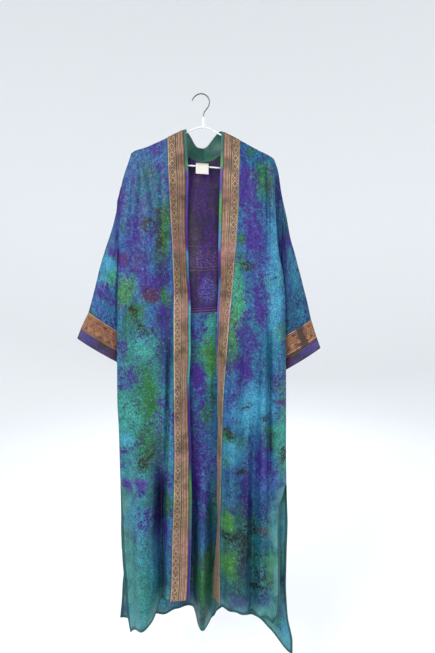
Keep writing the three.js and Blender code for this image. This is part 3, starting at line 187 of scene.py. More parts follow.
# Soft patches of dye: x, z, reach across, reach down (mm), turn (deg), dye, strength, 0 soaked through or 1 speckled.
# The dark ones down the fold beside the left band are partly painted shade, and the pale ones on the right back flap
# partly painted light.
PATCHES = {
    "front_left": [
        (-150, -420, 90, 160, 0, "blue", 0.5, 0), (-185, -960, 120, 330, 0, "teal2", 0.7, 0), (-160, -880, 45, 190, 4, "green", 0.6, 0),
        (-190, -1440, 100, 200, 0, "teal2", 0.75, 0), (-112, -400, 22, 120, 0, "green", 0.85, 0), (-116, -385, 26, 95, 0, "olive", 0.75, 1),
        # the indigo patch first in this row lies in the fold beside the band: partly dye, partly painted shade
        (-104, -700, 22, 130, 0, "indigo", 0.7, 0), (-215, -690, 20, 60, 0, "green", 0.6, 0), (-205, -880, 50, 120, 0, "dark", 0.35, 1),
        (-115, -180, 85, 60, 0, "blue", 0.6, 0), (-145, -280, 75, 40, 0, "teal", 0.75, 0), (-125, -155, 25, 20, 20, "violet", 0.8, 1),
        (-120, -210, 20, 25, 0, "violet", 0.7, 1), (-175, -200, 35, 30, 0, "violet", 0.35, 1), (-200, -250, 20, 35, 10, "violet", 0.45, 1),
        (-175, -390, 50, 75, -10, "violet", 0.75, 1), (-150, -365, 20, 20, 0, "olive", 0.6, 1), (-100, -370, 15, 70, 0, "green", 0.85, 0),
        (-110, -410, 15, 40, 0, "olive", 0.5, 1), (-150, -445, 45, 30, 0, "blue", 0.6, 0), (-228, -468, 20, 22, 0, "maroon", 0.85, 0),
        # the indigo patch at x -108 on this row and the one at x -110 on the next lie in the same fold: partly dye,
        # partly painted shade
        (-180, -475, 45, 40, -20, "violet", 0.8, 1), (-108, -505, 24, 46, 0, "indigo", 1.0, 0), (-145, -525, 30, 30, 0, "violet", 0.8, 0),
        (-145, -556, 28, 24, 0, "maroon", 0.85, 0), (-102, -572, 16, 42, 0, "green", 0.95, 0), (-110, -610, 25, 35, -15, "indigo", 0.7, 0),
        (-228, -560, 30, 50, -30, "lime", 0.8, 0), (-195, -615, 30, 40, -35, "green", 0.85, 0), (-195, -610, 20, 15, -30, "olive", 0.75, 1),
        (-170, -645, 20, 15, -30, "olive", 0.7, 1), (-150, -665, 15, 15, -30, "olive", 0.6, 1), (-180, -705, 50, 30, -10, "teal2", 0.8, 0),
        (-230, -705, 25, 35, 0, "violet", 0.75, 1), (-120, -705, 25, 45, 0, "indigo", 0.45, 1), (-215, -800, 40, 50, 0, "violet", 0.7, 1),
        (-225, -820, 30, 25, 0, "blue", 0.6, 0), (-150, -845, 20, 70, 3, "green", 0.9, 0), (-210, -910, 40, 55, 0, "teal2", 0.85, 0),
        (-185, -890, 15, 10, 0, "olive", 0.6, 1), (-220, -970, 25, 20, 0, "sky", 0.7, 0), (-230, -1010, 25, 25, 0, "violet", 0.65, 1),
        (-160, -1020, 25, 35, -20, "olive", 0.9, 1), (-155, -975, 25, 35, 0, "green", 0.6, 0), (-220, -1120, 20, 20, 0, "purple", 0.9, 0),
        (-175, -1105, 25, 20, -20, "purple", 0.85, 0), (-175, -1135, 20, 20, 0, "violet", 0.7, 1), (-235, -1165, 15, 40, 0, "green", 0.75, 0),
        (-230, -1280, 15, 35, 0, "green", 0.8, 0), (-180, -1210, 40, 65, 0, "sky", 0.75, 0), (-165, -1210, 25, 60, 0, "violet", 0.6, 1),
        (-205, -1255, 25, 40, 0, "violet", 0.5, 1), (-195, -1420, 50, 110, 0, "teal2", 0.9, 0), (-165, -1365, 15, 50, 0, "green", 0.6, 0),
        (-225, -1360, 15, 40, 0, "green", 0.35, 0), (-210, -1515, 35, 45, 0, "sky", 0.4, 0), (-220, -1575, 20, 25, 0, "indigo", 0.6, 0),
        # the navy patch first in this row fills the deep recess beside the band: partly dye, partly painted shade
        (-122, -1215, 25, 215, 0, "navy_recess_shade", 1.0, 0), (-105, -1170, 10, 50, 0, "green", 0.6, 0), (-105, -1295, 15, 80, 0, "blue", 0.5, 0),
        (-150, -1320, 42, 85, 0, "sky", 0.38, 0), (-160, -280, 45, 80, 0, "deepteal", 0.40, 0),
    ],
    "front_right": [
        (150, -300, 90, 180, 0, "blue", 0.4, 0), (100, -1330, 60, 190, 0, "green", 0.65, 0), (195, -1350, 60, 190, 0, "teal2", 0.6, 0),
        (238, -960, 26, 190, 0, "green2", 0.6, 0), (150, -1290, 80, 160, 0, "olive", 0.5, 1), (92, -560, 18, 170, 0, "green", 0.6, 0),
        (160, -1060, 90, 120, 0, "violet", 0.45, 1),
        (170, -180, 75, 60, 0, "teal", 0.7, 0), (140, -160, 15, 15, 0, "green", 0.7, 0), (180, -240, 34, 52, 0, "green", 0.95, 0),
        (160, -225, 25, 30, 0, "green", 0.5, 0), (130, -260, 25, 100, 4, "violet", 0.9, 1), (120, -210, 10, 60, 0, "violet", 0.7, 0),
        (150, -350, 35, 65, -10, "violet", 0.85, 1), (175, -310, 15, 30, 0, "teal", 0.7, 0), (155, -415, 35, 45, -10, "violet", 0.95, 1),
        (145, -380, 20, 35, 0, "purple", 0.5, 0), (110, -400, 15, 15, 0, "green", 0.85, 0), (110, -455, 10, 25, 0, "green", 0.7, 0),
        (104, -560, 20, 90, 4, "green2", 0.9, 0), (92, -650, 16, 60, 4, "lime", 0.85, 0), (140, -480, 30, 15, -8, "olive", 0.8, 1), (120, -465, 15, 10, 0, "olive", 0.7, 1),
        (210, -530, 25, 210, 0, "sky", 0.8, 0), (185, -430, 15, 70, 0, "blue", 0.5, 0), (170, -575, 25, 100, 5, "violet", 0.8, 1),
        (210, -520, 15, 10, 0, "indigo", 0.5, 1), (135, -685, 35, 60, 30, "violet", 0.85, 1), (75, -700, 15, 45, 0, "green", 0.75, 0),
        (175, -720, 40, 65, 20, "teal", 0.7, 0), (120, -765, 30, 50, 15, "violet", 0.9, 1), (110, -815, 20, 25, 0, "purple", 0.4, 0),
        (150, -880, 60, 70, 0, "sky", 0.85, 0), (125, -880, 15, 10, 0, "olive", 0.75, 1), (145, -875, 10, 10, 0, "olive", 0.6, 1),
        (75, -955, 25, 15, 0, "olive", 0.8, 1), (180, -925, 20, 10, 20, "olive", 0.7, 1), (90, -1005, 35, 40, 0, "sky", 0.7, 0),
        (115, -1065, 25, 10, -10, "olive", 0.85, 1), (175, -1040, 35, 70, 0, "violet", 0.8, 1), (170, -985, 25, 30, 0, "blue", 0.6, 0),
        (130, -1145, 15, 80, 3, "indigo", 0.9, 0), (80, -1095, 25, 35, 0, "teal", 0.7, 0), (80, -1105, 25, 35, 0, "olive", 0.4, 1),
        (225, -870, 20, 10, 0, "maroon", 0.8, 0), (230, -810, 20, 25, 0, "violet", 0.8, 1), (235, -985, 20, 65, 0, "teal2", 0.8, 0),
        (240, -1030, 15, 20, 0, "olive", 0.8, 1), (180, -1170, 30, 50, 0, "blue", 0.6, 0), (180, -1185, 30, 50, 0, "indigo", 0.5, 1),
        (75, -1215, 20, 40, 0, "lime", 0.9, 0), (80, -1255, 35, 15, -8, "dark", 0.8, 1), (75, -1335, 25, 50, 0, "lime", 0.9, 0),
        (130, -1295, 25, 80, 3, "dark", 0.75, 1), (125, -1360, 20, 40, 0, "indigo", 0.5, 0), (185, -1285, 35, 25, 0, "teal", 0.8, 0),
        (185, -1245, 20, 15, 0, "maroon", 0.7, 1), (205, -1365, 25, 55, 0, "lime", 0.75, 0), (200, -1395, 20, 30, 0, "olive", 0.6, 1),
        (160, -1420, 20, 20, 0, "dark", 0.8, 1), (105, -1460, 30, 55, 0, "violet", 0.8, 1), (115, -1485, 25, 30, 0, "blue", 0.5, 0),
        (180, -1505, 25, 25, 0, "green2", 0.7, 0), (215, -1455, 10, 90, 0, "green", 0.5, 0),
    ],
    "back": [
        # the two sky patches on this row cover the right back flap: partly dye, partly painted light for the light
        # coming through the thin cloth
        (264, -1400, 24, 250, 0, "sky", 1.0, 0), (262, -1300, 20, 60, 0, "green2", 0.7, 0), (258, -1560, 26, 60, 0, "sky", 0.8, 0),
        (-248, -1480, 14, 120, 0, "violet", 0.7, 0),
        (0, -900, 70, 300, 0, "teal", 0.5, 0), (15, -1400, 60, 190, 0, "green", 0.6, 0), (-12, -960, 40, 230, 0, "violet", 0.6, 1),
        (26, -740, 22, 120, 0, "green2", 0.7, 0), (-40, -1100, 26, 240, 0, "indigo", 0.6, 0),
        (-20, -660, 20, 40, 0, "blue", 0.7, 0), (-20, -670, 20, 35, 0, "violet", 0.6, 1), (25, -655, 22, 42, 0, "teal2", 1.0, 0),
        (26, -735, 20, 50, 0, "lime", 0.85, 0), (-20, -725, 20, 30, 0, "green", 0.4, 0), (-15, -810, 25, 65, 8, "violet", 0.95, 1),
        (-10, -800, 20, 45, 8, "purple", 0.5, 0), (30, -760, 15, 35, 0, "lime", 0.6, 0), (25, -855, 15, 45, 0, "olive", 0.5, 1),
        (10, -920, 20, 30, 0, "green", 0.9, 0), (-15, -905, 15, 25, 0, "blue", 0.5, 0), (0, -1120, 40, 145, 0, "violet", 0.9, 1),
        (-5, -1080, 25, 90, 0, "purple", 0.55, 0), (35, -1175, 15, 90, 0, "green", 0.5, 0), (10, -1285, 30, 40, 0, "blue", 0.8, 0),
        (5, -1415, 35, 85, 0, "green", 0.9, 0), (15, -1365, 20, 50, 0, "lime", 0.4, 0), (30, -1460, 10, 55, 0, "green2", 0.7, 0),
        (-5, -1520, 25, 20, 0, "olive", 0.8, 1), (5, -1560, 25, 25, 0, "green2", 0.9, 0), (-55, -1490, 45, 35, 0, "indigo", 0.85, 0),
        (-120, -1510, 35, 25, 0, "sky", 0.6, 0), (-70, -1395, 30, 90, 0, "indigo", 0.7, 0), (255, -1235, 20, 120, 0, "sky", 0.8, 0),
        (260, -1365, 20, 70, 0, "green2", 0.6, 0), (265, -1445, 10, 35, 0, "violet", 0.5, 0), (270, -1590, 20, 60, 0, "sky", 0.8, 0),
        (250, -1175, 15, 50, 0, "green", 0.6, 0), (-245, -1365, 10, 120, 0, "blue", 0.6, 0), (-245, -1510, 15, 25, 0, "violet", 0.9, 0),
        (12, -1050, 25, 60, 0, "blue", 0.55, 0), (12, -1130, 22, 60, 0, "sky", 0.35, 0), (-10, -1200, 28, 55, 0, "blue", 0.5, 0),
        (-8, -850, 16, 40, 0, "blue", 0.4, 0),
    ],
    "sleeve_left": [
        (-232, -330, 16, 110, 0, "indigo", 0.85, 0), (-236, -420, 10, 60, 0, "violet", 0.8, 0),
        (-230, -305, 10, 40, 0, "violet", 0.9, 0), (-245, -350, 15, 40, 0, "blue", 0.6, 0), (-250, -410, 20, 25, 0, "blue", 0.7, 0),
        (-255, -435, 20, 25, 0, "violet", 0.85, 1), (-235, -455, 10, 25, 0, "maroon", 0.7, 1), (-270, -480, 25, 25, 0, "sky", 0.8, 0),
        (-260, -510, 25, 25, -20, "green2", 0.85, 0), (-290, -515, 15, 15, 0, "sky", 0.6, 0), (-285, -545, 25, 25, 0, "violet", 0.85, 1),
        (-260, -575, 25, 30, 0, "violet", 0.7, 1), (-300, -585, 20, 25, 0, "blue", 0.8, 0), (-270, -635, 35, 30, 0, "blue", 0.75, 0),
        (-260, -645, 25, 25, 0, "indigo", 0.4, 1),
    ],
    "sleeve_right": [
        (236, -420, 8, 120, 0, "indigo", 0.95, 0), (255, -520, 30, 90, 0, "sky", 0.5, 0),
        (225, -260, 10, 75, 0, "indigo", 0.8, 0), (235, -330, 10, 55, 0, "teal", 0.7, 0), (250, -400, 15, 40, 0, "violet", 0.8, 1),
        (245, -360, 10, 35, 0, "green", 0.6, 0), (235, -465, 15, 65, 0, "indigo", 0.75, 0), (260, -465, 15, 40, 0, "teal", 0.8, 0),
        (270, -530, 25, 50, 0, "teal", 0.9, 0), (250, -575, 10, 75, 0, "indigo", 0.6, 0), (285, -590, 25, 40, 0, "deepteal", 0.9, 0),
        (300, -625, 25, 35, 0, "teal", 0.8, 0), (265, -645, 25, 35, 0, "deepteal", 0.8, 0),
    ],
    "yoke": [
        (0, -240, 60, 70, 0, "plum", 0.9, 0), (-30, -400, 26, 60, 0, "black", 0.9, 0), (-22, -385, 12, 14, 0, "brown", 0.7, 0),
        (30, -340, 26, 60, 0, "plum", 0.8, 0), (0, -455, 70, 22, 0, "plum", 0.7, 0), (-30, -520, 24, 40, 0, "black", 0.85, 0),
        (20, -560, 46, 50, 0, "plum", 0.8, 0), (-150, -300, 60, 90, 0, "indigo", 0.5, 0), (150, -280, 60, 90, 0, "plum", 0.6, 0),
        (-120, -520, 70, 60, 0, "brown", 0.4, 1), (140, -500, 60, 70, 0, "indigo", 0.5, 0), (40, -270, 20, 50, 0, "black", 0.5, 0),
        ],
}

# ---------------------------------------------------------------- small maths
def clamp(v, lo, hi):
    return np.minimum(np.maximum(v, lo), hi)

def lerp(a, b, t):
    return a + (b - a) * t

def smooth(a, b, v):
    t = clamp((v - a) / (b - a), 0, 1)
    return t * t * (3 - 2 * t)

def bump(t):
    return np.where(np.abs(t) >= 1, 0.0, 0.5 + 0.5 * np.cos(np.pi * t))

def column(table, index):
    rows = sorted(table, key=lambda r: r[0])
    x = np.array([r[0] for r in rows], float)
    y = np.array([r[index] for r in rows], float)
    s = np.diff(y) / np.diff(x)
    slope = np.empty(len(x))
    slope[0], slope[-1] = s[0], s[-1]
    for i in range(1, len(x) - 1):
        a, b = s[i - 1], s[i]
        slope[i] = 0 if a * b <= 0 else 2 * a * b / (a + b)
    def f(q):
        q = clamp(np.asarray(q, float), x[0], x[-1])
        i = clamp(np.searchsorted(x, q, side="right") - 1, 0, len(x) - 2).astype(int)
        h = x[i + 1] - x[i]
        t = (q - x[i]) / h
        t2, t3 = t * t, t * t * t
        return ((2 * t3 - 3 * t2 + 1) * y[i] + (t3 - 2 * t2 + t) * h * slope[i]
                + (3 * t2 - 2 * t3) * y[i + 1] + (t3 - t2) * h * slope[i + 1])
    return f

def noise(p, scale, seed, octaves=3, gain=0.5):
    """Smooth value noise of points p (n, 3), from -1 to 1."""
    out, amp, total = np.zeros(len(p)), 1.0, 0.0
    q = np.asarray(p, float) * scale
    for o in range(octaves):
        i = np.floor(q).astype(np.int64)
        f = q - i
        f = f * f * (3 - 2 * f)
        def h(a, b, c):
            n = (i[:, 0] + a) * 374761393 + (i[:, 1] + b) * 668265263 + (i[:, 2] + c) * 1442695041 + (seed + 17 * o) * 1274126177
            n = (n ^ (n >> 13)) * 1274126177
            n = n ^ (n >> 16)
            return (n & 0xFFFF) / 32767.5 - 1
        x00 = lerp(h(0, 0, 0), h(1, 0, 0), f[:, 0]); x10 = lerp(h(0, 1, 0), h(1, 1, 0), f[:, 0])
        x01 = lerp(h(0, 0, 1), h(1, 0, 1), f[:, 0]); x11 = lerp(h(0, 1, 1), h(1, 1, 1), f[:, 0])
        out += amp * lerp(lerp(x00, x10, f[:, 1]), lerp(x01, x11, f[:, 1]), f[:, 2])
        total += amp
        amp *= gain
        q = q * 2.03
    return out / total

# ---------------------------------------------------------------- functions of the body
shoulder_z = column(SHOULDER, 1)
neck_seam_z = column(NECK_SEAM, 1)
hem_back_z = column(HEM_BACK, 1)
depth_of = {"left": column(DEPTH, 1), "right": column(DEPTH, 2), "back": column(DEPTH, 3)}
side_x = {h: {"front": column(SIDE[h], 1), "back": column(SIDE[h], 2)} for h in ("left", "right")}
edge_x = {h: column(FRONT_EDGE[h], 1) for h in ("left", "right")}
edge_turn = {h: column(FRONT_EDGE[h], 2) for h in ("left", "right")}
hem_z = {h: column(HEM[h], 1) for h in ("left", "right")}

def yoke_seam(x):
    return -613 + 0.07 * x

def wrap(drop):
    return np.where(drop >= ARM_WRAP, ARM_WRAP, np.sqrt(np.maximum(0, drop * (2 * ARM_WRAP - drop))))

def edge_open(hand, z):
    tip = SIDE[hand][0][0]
    t = (tip - z) / (tip - UNDERARM[hand])
    free = 0.9 * smooth(SLIT_TOP, SLIT_FREE, z)
    arm = np.sqrt(np.maximum(0, 1 - clamp(t, 0, 1) ** 5))
    return np.where(t <= 0, 1.0, np.where(t < 1, arm, free))

def folds_at(rows, x, z):
    total = np.zeros_like(x)
    for start, full, gone, x0, x1, w0, w1, depth in rows:
        t = clamp((start - z) / (start + 1500), 0, 1)
        height = depth * smooth(start, full, z)
        if gone:
            height = height * (1 - smooth((full + gone) / 2, gone, z))
        total += height * bump((x - lerp(x0, x1, t)) / lerp(w0, w1, t))
    return total

def creases_at(rows, x, z):
    """Sum of the hand-placed troughs and ridges. Each one swells and dies along its length."""
    total = np.zeros_like(x)
    for x0, z0, x1, z1, w0, w1, depth in rows:
        dx, dz = x1 - x0, z1 - z0
        length = math.hypot(dx, dz)
        along = ((x - x0) * dx + (z - z0) * dz) / length ** 2
        bend = 5.0 * np.sin(3.1 * along + 0.013 * x0 + 0.02 * z0)  # no crease is ruled straight
        off = ((x - x0) * dz - (z - z0) * dx) / length + bend
        width = lerp(w0, w1, clamp(along, 0, 1))
        swell = np.where((along > 0) & (along < 1), np.sin(np.pi * clamp(along, 0, 1)) ** 0.75, 0.0)
        total += depth * swell * bump(off / width)
    return total

def depth_side(layer, hand, x, z):
    back = layer == "back"
    edge = side_x[hand]["back" if back else "front"](z)
    f = clamp(np.abs((x - BODY_MID) / (edge - BODY_MID)), 0, 1)
    opened = edge_open(hand, z)
    round_ = np.sqrt(np.maximum(0, 1 - (1 - (EDGE_OPEN * opened) ** 2) * f ** 4))
    drop = np.maximum(0, shoulder_z(x) - z)
    held = 1 - smooth(0.84, 1, f) * (1 - opened)
    folds = folds_at(FOLDS["back" if back else hand], x, z) * held
    return (wrap(drop) + depth_of["back" if back else hand](drop)) * round_ + (-folds if back else folds)

def depth_at(layer, x, z):
    return np.where(x < BODY_MID, depth_side(layer, "left", x, z), depth_side(layer, "right", x, z))

def resample(line, count):
    d = np.r_[0, np.cumsum(np.linalg.norm(np.diff(line, axis=0), axis=1))]
    want = np.linspace(0, d[-1], count + 1)
    return np.stack([np.interp(want, d, line[:, k]) for k in range(3)], axis=1)

def underarm_z(x):
    return lerp(UNDERARM["left"], UNDERARM["right"], clamp((x + 240) / 470, 0, 1))

FINE_DROPS = [0, 0.15, 0.6, 1.3, 2.4, 3.8, 5.6, 8, 11, 15, 20, 26, 33, 40]
N_UP = 46           # rows from there to the underarm
N_ARM = len(FINE_DROPS) - 1 + N_UP
N_SLIT = 150        # rows from the underarm to the slit
N_HEM = 88

def upper_z(top, x, j):
    first = len(FINE_DROPS) - 1
    if j <= first:
        return top - FINE_DROPS[j]
    return lerp(top - FINE_DROPS[first], underarm_z(x), (j - first) / N_UP)

# ---------------------------------------------------------------- mid-surfaces
def front_grid(hand, columns=66):
    out = -1 if hand == "left" else 1
    rows = N_ARM + N_SLIT + N_HEM
    grid, seam = [], []
    steps = np.linspace(0, 1, 241)
    def height(x, j):
        if j <= N_ARM:
            return upper_z(shoulder_z(x), x, j)
        k = j - N_ARM
        if k <= N_SLIT:
            return lerp(underarm_z(x), SLIT_TOP, k / N_SLIT)
        return lerp(SLIT_TOP, hem_z[hand](x), (k - N_SLIT) / N_HEM)
    for j in range(rows + 1):
        settle = smooth(0, ARM_WRAP, FINE_DROPS[min(j, len(FINE_DROPS) - 1)])
        x = np.full_like(steps, out * 150.0)
        z = height(x, j)
        for _ in range(7):
            roll = out * BAND_ROLL * np.sin(np.radians(edge_turn[hand](z))) * settle
            x = lerp(edge_x[hand](z) + roll, side_x[hand]["front"](z), steps)
            z = height(x, j)
        y = np.minimum(-depth_at("front", x, z), -0.05)
        line = np.stack([x, y, z], axis=1)
        head = line[0]
        turn = math.radians(float(edge_turn[hand](head[2]))) * float(settle)
        bend = []
        if turn > 0:
            for k in range(10, 0, -1):
                a = turn * k / 10
                bend.append([head[0] - out * BAND_ROLL * math.sin(a), head[1] + BAND_ROLL * (1 - math.cos(a)), head[2]])
        full = np.vstack([np.array(bend), line]) if bend else line
        row = resample(full, columns)
        drop = max(0.0, float(shoulder_z(row[0][0]) - row[0][2]))
        grid.append(row)
        seam.append((row[0].copy(), turn, drop))
    return np.array(grid), seam

def yoke_grid(columns=116):
    rows = N_ARM + 38
    l, r = NECK_SEAM[0][0], NECK_SEAM[-1][0]
    top_of = lambda x: np.where((x > l) & (x < r), neck_seam_z(x), shoulder_z(x))
    steps = np.linspace(0, 1, 601)
    grid = []
    for j in range(rows + 1):
        z = np.full_like(steps, -300.0)
        for _ in range(7):
            x = lerp(side_x["left"]["back"](z), side_x["right"]["back"](z), steps)
            z = upper_z(top_of(x), x, j) if j <= N_ARM else lerp(underarm_z(x), yoke_seam(x), (j - N_ARM) / 38)
        line = np.stack([x, np.maximum(depth_at("back", x, z), 0.05), z], axis=1)
        grid.append(resample(line, columns))
    return np.array(grid)

def skirt_grid(columns=124, rows_slit=118, rows_hem=96):
    steps = np.linspace(0, 1, 601)
    grid = []
    for j in range(rows_slit + rows_hem + 1):
        z = np.full_like(steps, -1000.0)
        for _ in range(7):
            x = lerp(side_x["left"]["back"](z), side_x["right"]["back"](z), steps)
            if j <= rows_slit:
                z = lerp(yoke_seam(x), SLIT_TOP, j / rows_slit)
            else:
                z = lerp(SLIT_TOP, hem_back_z(x), (j - rows_slit) / rows_hem)
        y = depth_at("back", x, z)
        ends = (np.arange(len(steps)) < 12) | (np.arange(len(steps)) > len(steps) - 13)
        y = np.where(ends & (z > SLIT_TOP - 1), np.maximum(y, 0.05), y)
        grid.append(resample(np.stack([x, y, z], axis=1), columns))
    return np.array(grid)

def band_grid(hand, seam, across):
    out = -1 if hand == "left" else 1
    across = np.asarray(across, float)
    rows = []
    for point, turn, drop in reversed(seam):
        follow = 1 - float(smooth(0, 150, drop))
        slant = 1 - 0.09 * follow
        x = point[0] - out * across * math.cos(turn) * slant
        z = point[2] + (shoulder_z(x) - shoulder_z(point[0])) * follow
        y = point[1] + across * math.sin(turn) * slant
        rows.append(np.stack([x, y, z], axis=1))
    table = [(abs(r[0] - 4), *r) for r in COLLAR[hand]]
    cols = [column(table, k) for k in (2, 3, 4, 5)]
    first = abs(COLLAR[hand][0][0] - 4)
    edge = abs(NECK_SEAM[0][0] - 4) if hand == "left" else abs(NECK_SEAM[-1][0] - 4)
    # from the shoulder to the first row of the collar, then round to the centre back
    start = rows[-1]
    for s in np.linspace(first, 0, 30):
        sx = 4 + out * s
        sz = float(neck_seam_z(sx))
        sy = max(float(depth_at("back", np.array([sx * 1.0]), np.array([sz]))[0]), 0.05)
        fx, fy, fz, bulge = (float(c(s)) for c in cols)
        t = across / BAND
        b = 4 * t * (1 - t) * bulge
        rows.append(np.stack([lerp(sx, fx, t), lerp(sy, fy, t) + b * 0.8, lerp(sz, fz, t) - b * 0.6], axis=1))
    return np.array(rows)

def sleeve_rings(hand, front_edge, back_edge, rows=104, cuff_rows=(14, 8)):
    """Rings of the sleeve and its cuff. The first ring follows the armhole."""
    out = -1 if hand == "left" else 1
    half = N_ARM
    tip, under = front_edge[0][2], front_edge[half][2]
    start = (front_edge[:, 2] - tip) / (under - tip)
    table = [(k, *r) for k, r in enumerate(SLEEVE[hand])]
    cols = [column(table, i) for i in range(1, 9)]
    even = 0.5 - 0.5 * np.cos(np.pi * np.arange(half + 1) / half)
    first = []
    for i in range(2 * half):
        p = front_edge[i] if i <= half else back_edge[2 * half - i]
        fold = i in (0, half)
        first.append([p[0] + out * 0.1, 0 if fold else p[1], p[2]])
    rings = [np.array(first)]
    idx = np.arange(2 * half)
    which = np.where(idx <= half, idx, 2 * half - idx)
    is_front = idx <= half
    def section(row, shares, lift):
        tx, tz, ty, bx, bz, by, bow, hd = row
        e = shares[which]
        x = lerp(tx, bx, e) + bow * np.sin(np.pi * e)
        z = lerp(tz, bz, e)
        swell = np.maximum(0, np.sin(np.pi * clamp(e, 0, 1)))
        y = lerp(ty, by, smooth(0, 1, e)) + np.where(is_front, -1, 1) * hd * swell ** 0.7
        if lift > 0:
            inside = np.abs(side_x[hand]["back"](z)) - np.abs(x)
            raised = np.maximum(y, depth_at("back", x, z) + 3.4)
            w = smooth(-8, 1, inside) * lift
            y = np.where(is_front & (z < UNDERARM[hand] + 4), lerp(y, raised, w), y)
        return np.stack([x, y, z], axis=1)
    last = len(SLEEVE[hand]) - 1
    for k in range(1, rows + 1):
        s = last * k / rows
        row = [float(c(s)) for c in cols]
        mix = float(smooth(0, 4, s))
        ring = section(row, lerp(start, even, mix), 1.0)
        # the first rings ease off the armhole
        w = float(smooth(0, 1.0, s))
        rings.append(lerp(rings[0], ring, w) if w < 1 else ring)
    ctable = [(k, *r) for k, r in enumerate(CUFF[hand])]
    cc = [column(ctable, i) for i in range(1, 9)]
    for seg, n in enumerate(cuff_rows):
        for k in range(1, n + 1):
            rings.append(section([float(c(seg + k / n)) for c in cc], even, 0.0))
    return np.array(rings), even[which], is_front

# ---------------------------------------------------------------- meshes
def normals_of(grid, closed=False):
    if closed:
        u = np.roll(grid, -1, axis=1) - np.roll(grid, 1, axis=1)
    else:
        u = np.gradient(grid, axis=1)
    v = np.gradient(grid, axis=0)
    n = np.cross(u, v)
    length = np.linalg.norm(n, axis=2, keepdims=True)
    n = n / np.maximum(length, 1e-9)
    return n

def lengths(grid):
    """Cloth coordinates in metres: across each row, and down the middle column."""
    du = np.linalg.norm(np.diff(grid, axis=1), axis=2)
    u = np.concatenate([np.zeros((grid.shape[0], 1)), np.cumsum(du, axis=1)], axis=1)
    mid = grid[:, grid.shape[1] // 2]
    v = np.r_[0, np.cumsum(np.linalg.norm(np.diff(mid, axis=0), axis=1))]
    return u / 1000, v / 1000

PIECES = []

def shell(name, grid, thickness, material, uv=None, dye=None, speck=None, closed=False, up=None, rim=None):
    """A closed thin wall on a grid of mid-surface points (mm)."""
    R, C = grid.shape[:2]
    n = normals_of(grid, closed)
    if up is not None and np.sum(n * np.asarray(up)) < 0:
        n = -n
    a = grid + n * thickness / 2
    b = grid - n * thickness / 2
    verts = np.concatenate([a.reshape(-1, 3), b.reshape(-1, 3)]) / 1000
    cols = C if closed else C - 1
    j, i = np.meshgrid(np.arange(R - 1), np.arange(cols), indexing="ij")
    i2 = (i + 1) % C
    q = lambda off, rev: np.stack([off + j * C + i, off + j * C + i2, off + (j + 1) * C + i2, off + (j + 1) * C + i] if not rev else
                                  [off + j * C + i, off + (j + 1) * C + i, off + (j + 1) * C + i2, off + j * C + i2], axis=-1).reshape(-1, 4)
    S = R * C
    faces = [q(0, False), q(S, True)]
    # which way the faces of the first layer look
    f0 = faces[0][len(faces[0]) // 2]
    p = verts[f0]
    fn = np.cross(p[1] - p[0], p[2] - p[0])
    mid = n.reshape(-1, 3)[f0[0]]
    flip = fn.dot(mid) < 0
    ci = np.arange(cols)
    ci2 = (ci + 1) % C
    rims = [np.stack([S + ci, S + ci2, ci2, ci], axis=-1),
            np.stack([(R - 1) * C + ci, (R - 1) * C + ci2, S + (R - 1) * C + ci2, S + (R - 1) * C + ci], axis=-1)]
    if not closed:
        rj = np.arange(R - 1)
        rims.append(np.stack([rj * C, (rj + 1) * C, S + (rj + 1) * C, S + rj * C], axis=-1))
        rims.append(np.stack([S + rj * C + C - 1, S + (rj + 1) * C + C - 1, (rj + 1) * C + C - 1, rj * C + C - 1], axis=-1))
    n_main = len(faces[0]) + len(faces[1])
    allf = np.concatenate(faces + rims)
    if flip:
        allf = allf[:, ::-1]
    me = bpy.data.meshes.new(name)
    me.from_pydata(verts.tolist(), [], allf.tolist())
    smooth_flags = np.zeros(len(allf), bool)
    smooth_flags[:n_main] = True
    me.polygons.foreach_set("use_smooth", smooth_flags)
    # cloth coordinates
    if uv is None:
        uu, vv = lengths(np.concatenate([grid, grid[:, :1]], axis=1) if closed else grid)
        uv = (uu, np.repeat(vv[:, None], uu.shape[1], axis=1))
    U, V = uv
    CC = C + 1 if closed else C
    flatU, flatV = np.asarray(U).reshape(-1), np.asarray(V).reshape(-1)
    def corner_uv(f):
        k = f % S
        jj, ii = k // C, k % C
        if closed:
            wrap_face = (ii.max(axis=1) == C - 1) & (ii.min(axis=1) == 0)
            ii = np.where(wrap_face[:, None] & (ii == 0), C, ii)
        idx = jj * CC + ii
        return np.stack([flatU[idx], flatV[idx]], axis=-1)
    layer = me.uv_layers.new(name="cloth")
    layer.data.foreach_set("uv", corner_uv(allf).reshape(-1).astype(np.float32))
    for key, values in (("dye", dye), ("speck", speck)):
        if values is not None:
            att = me.color_attributes.new(key, "FLOAT_COLOR", "POINT")
            full = np.concatenate([values, values]).astype(np.float32)
            att.data.foreach_set("color", full.reshape(-1))
    # distance from a hemmed edge, in metres
    att = me.attributes.new("rim", "FLOAT", "POINT")
    far = np.full(S, 1.0) if rim is None else np.asarray(rim, float).reshape(-1)
    att.data.foreach_set("value", np.concatenate([far, far]).astype(np.float32))
    me.materials.append(material)
    me.update()
    ob = bpy.data.objects.new(name, me)
    bpy.context.scene.collection.objects.link(ob)
    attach(ob, "root")
    PIECES.append(ob)
    return ob

def rim_of(grid, sides, from_row):
    """Distance in metres from the last row, and from the given end columns below a row."""
    across = np.linalg.norm(np.diff(grid, axis=1), axis=2)
    along = np.linalg.norm(np.diff(grid, axis=0), axis=2)
    down = np.concatenate([np.cumsum(along[::-1], axis=0)[::-1], np.zeros((1, grid.shape[1]))])
    out = down.copy()
    left = np.concatenate([np.zeros((grid.shape[0], 1)), np.cumsum(across, axis=1)], axis=1)
    right = np.concatenate([np.cumsum(across[:, ::-1], axis=1)[:, ::-1], np.zeros((grid.shape[0], 1))], axis=1)
    below = (np.arange(grid.shape[0]) >= from_row)[:, None]
    for name, d in (("first", left), ("last", right)):
        if name in sides:
            out = np.where(below, np.minimum(out, d), out)
    return out / 1000

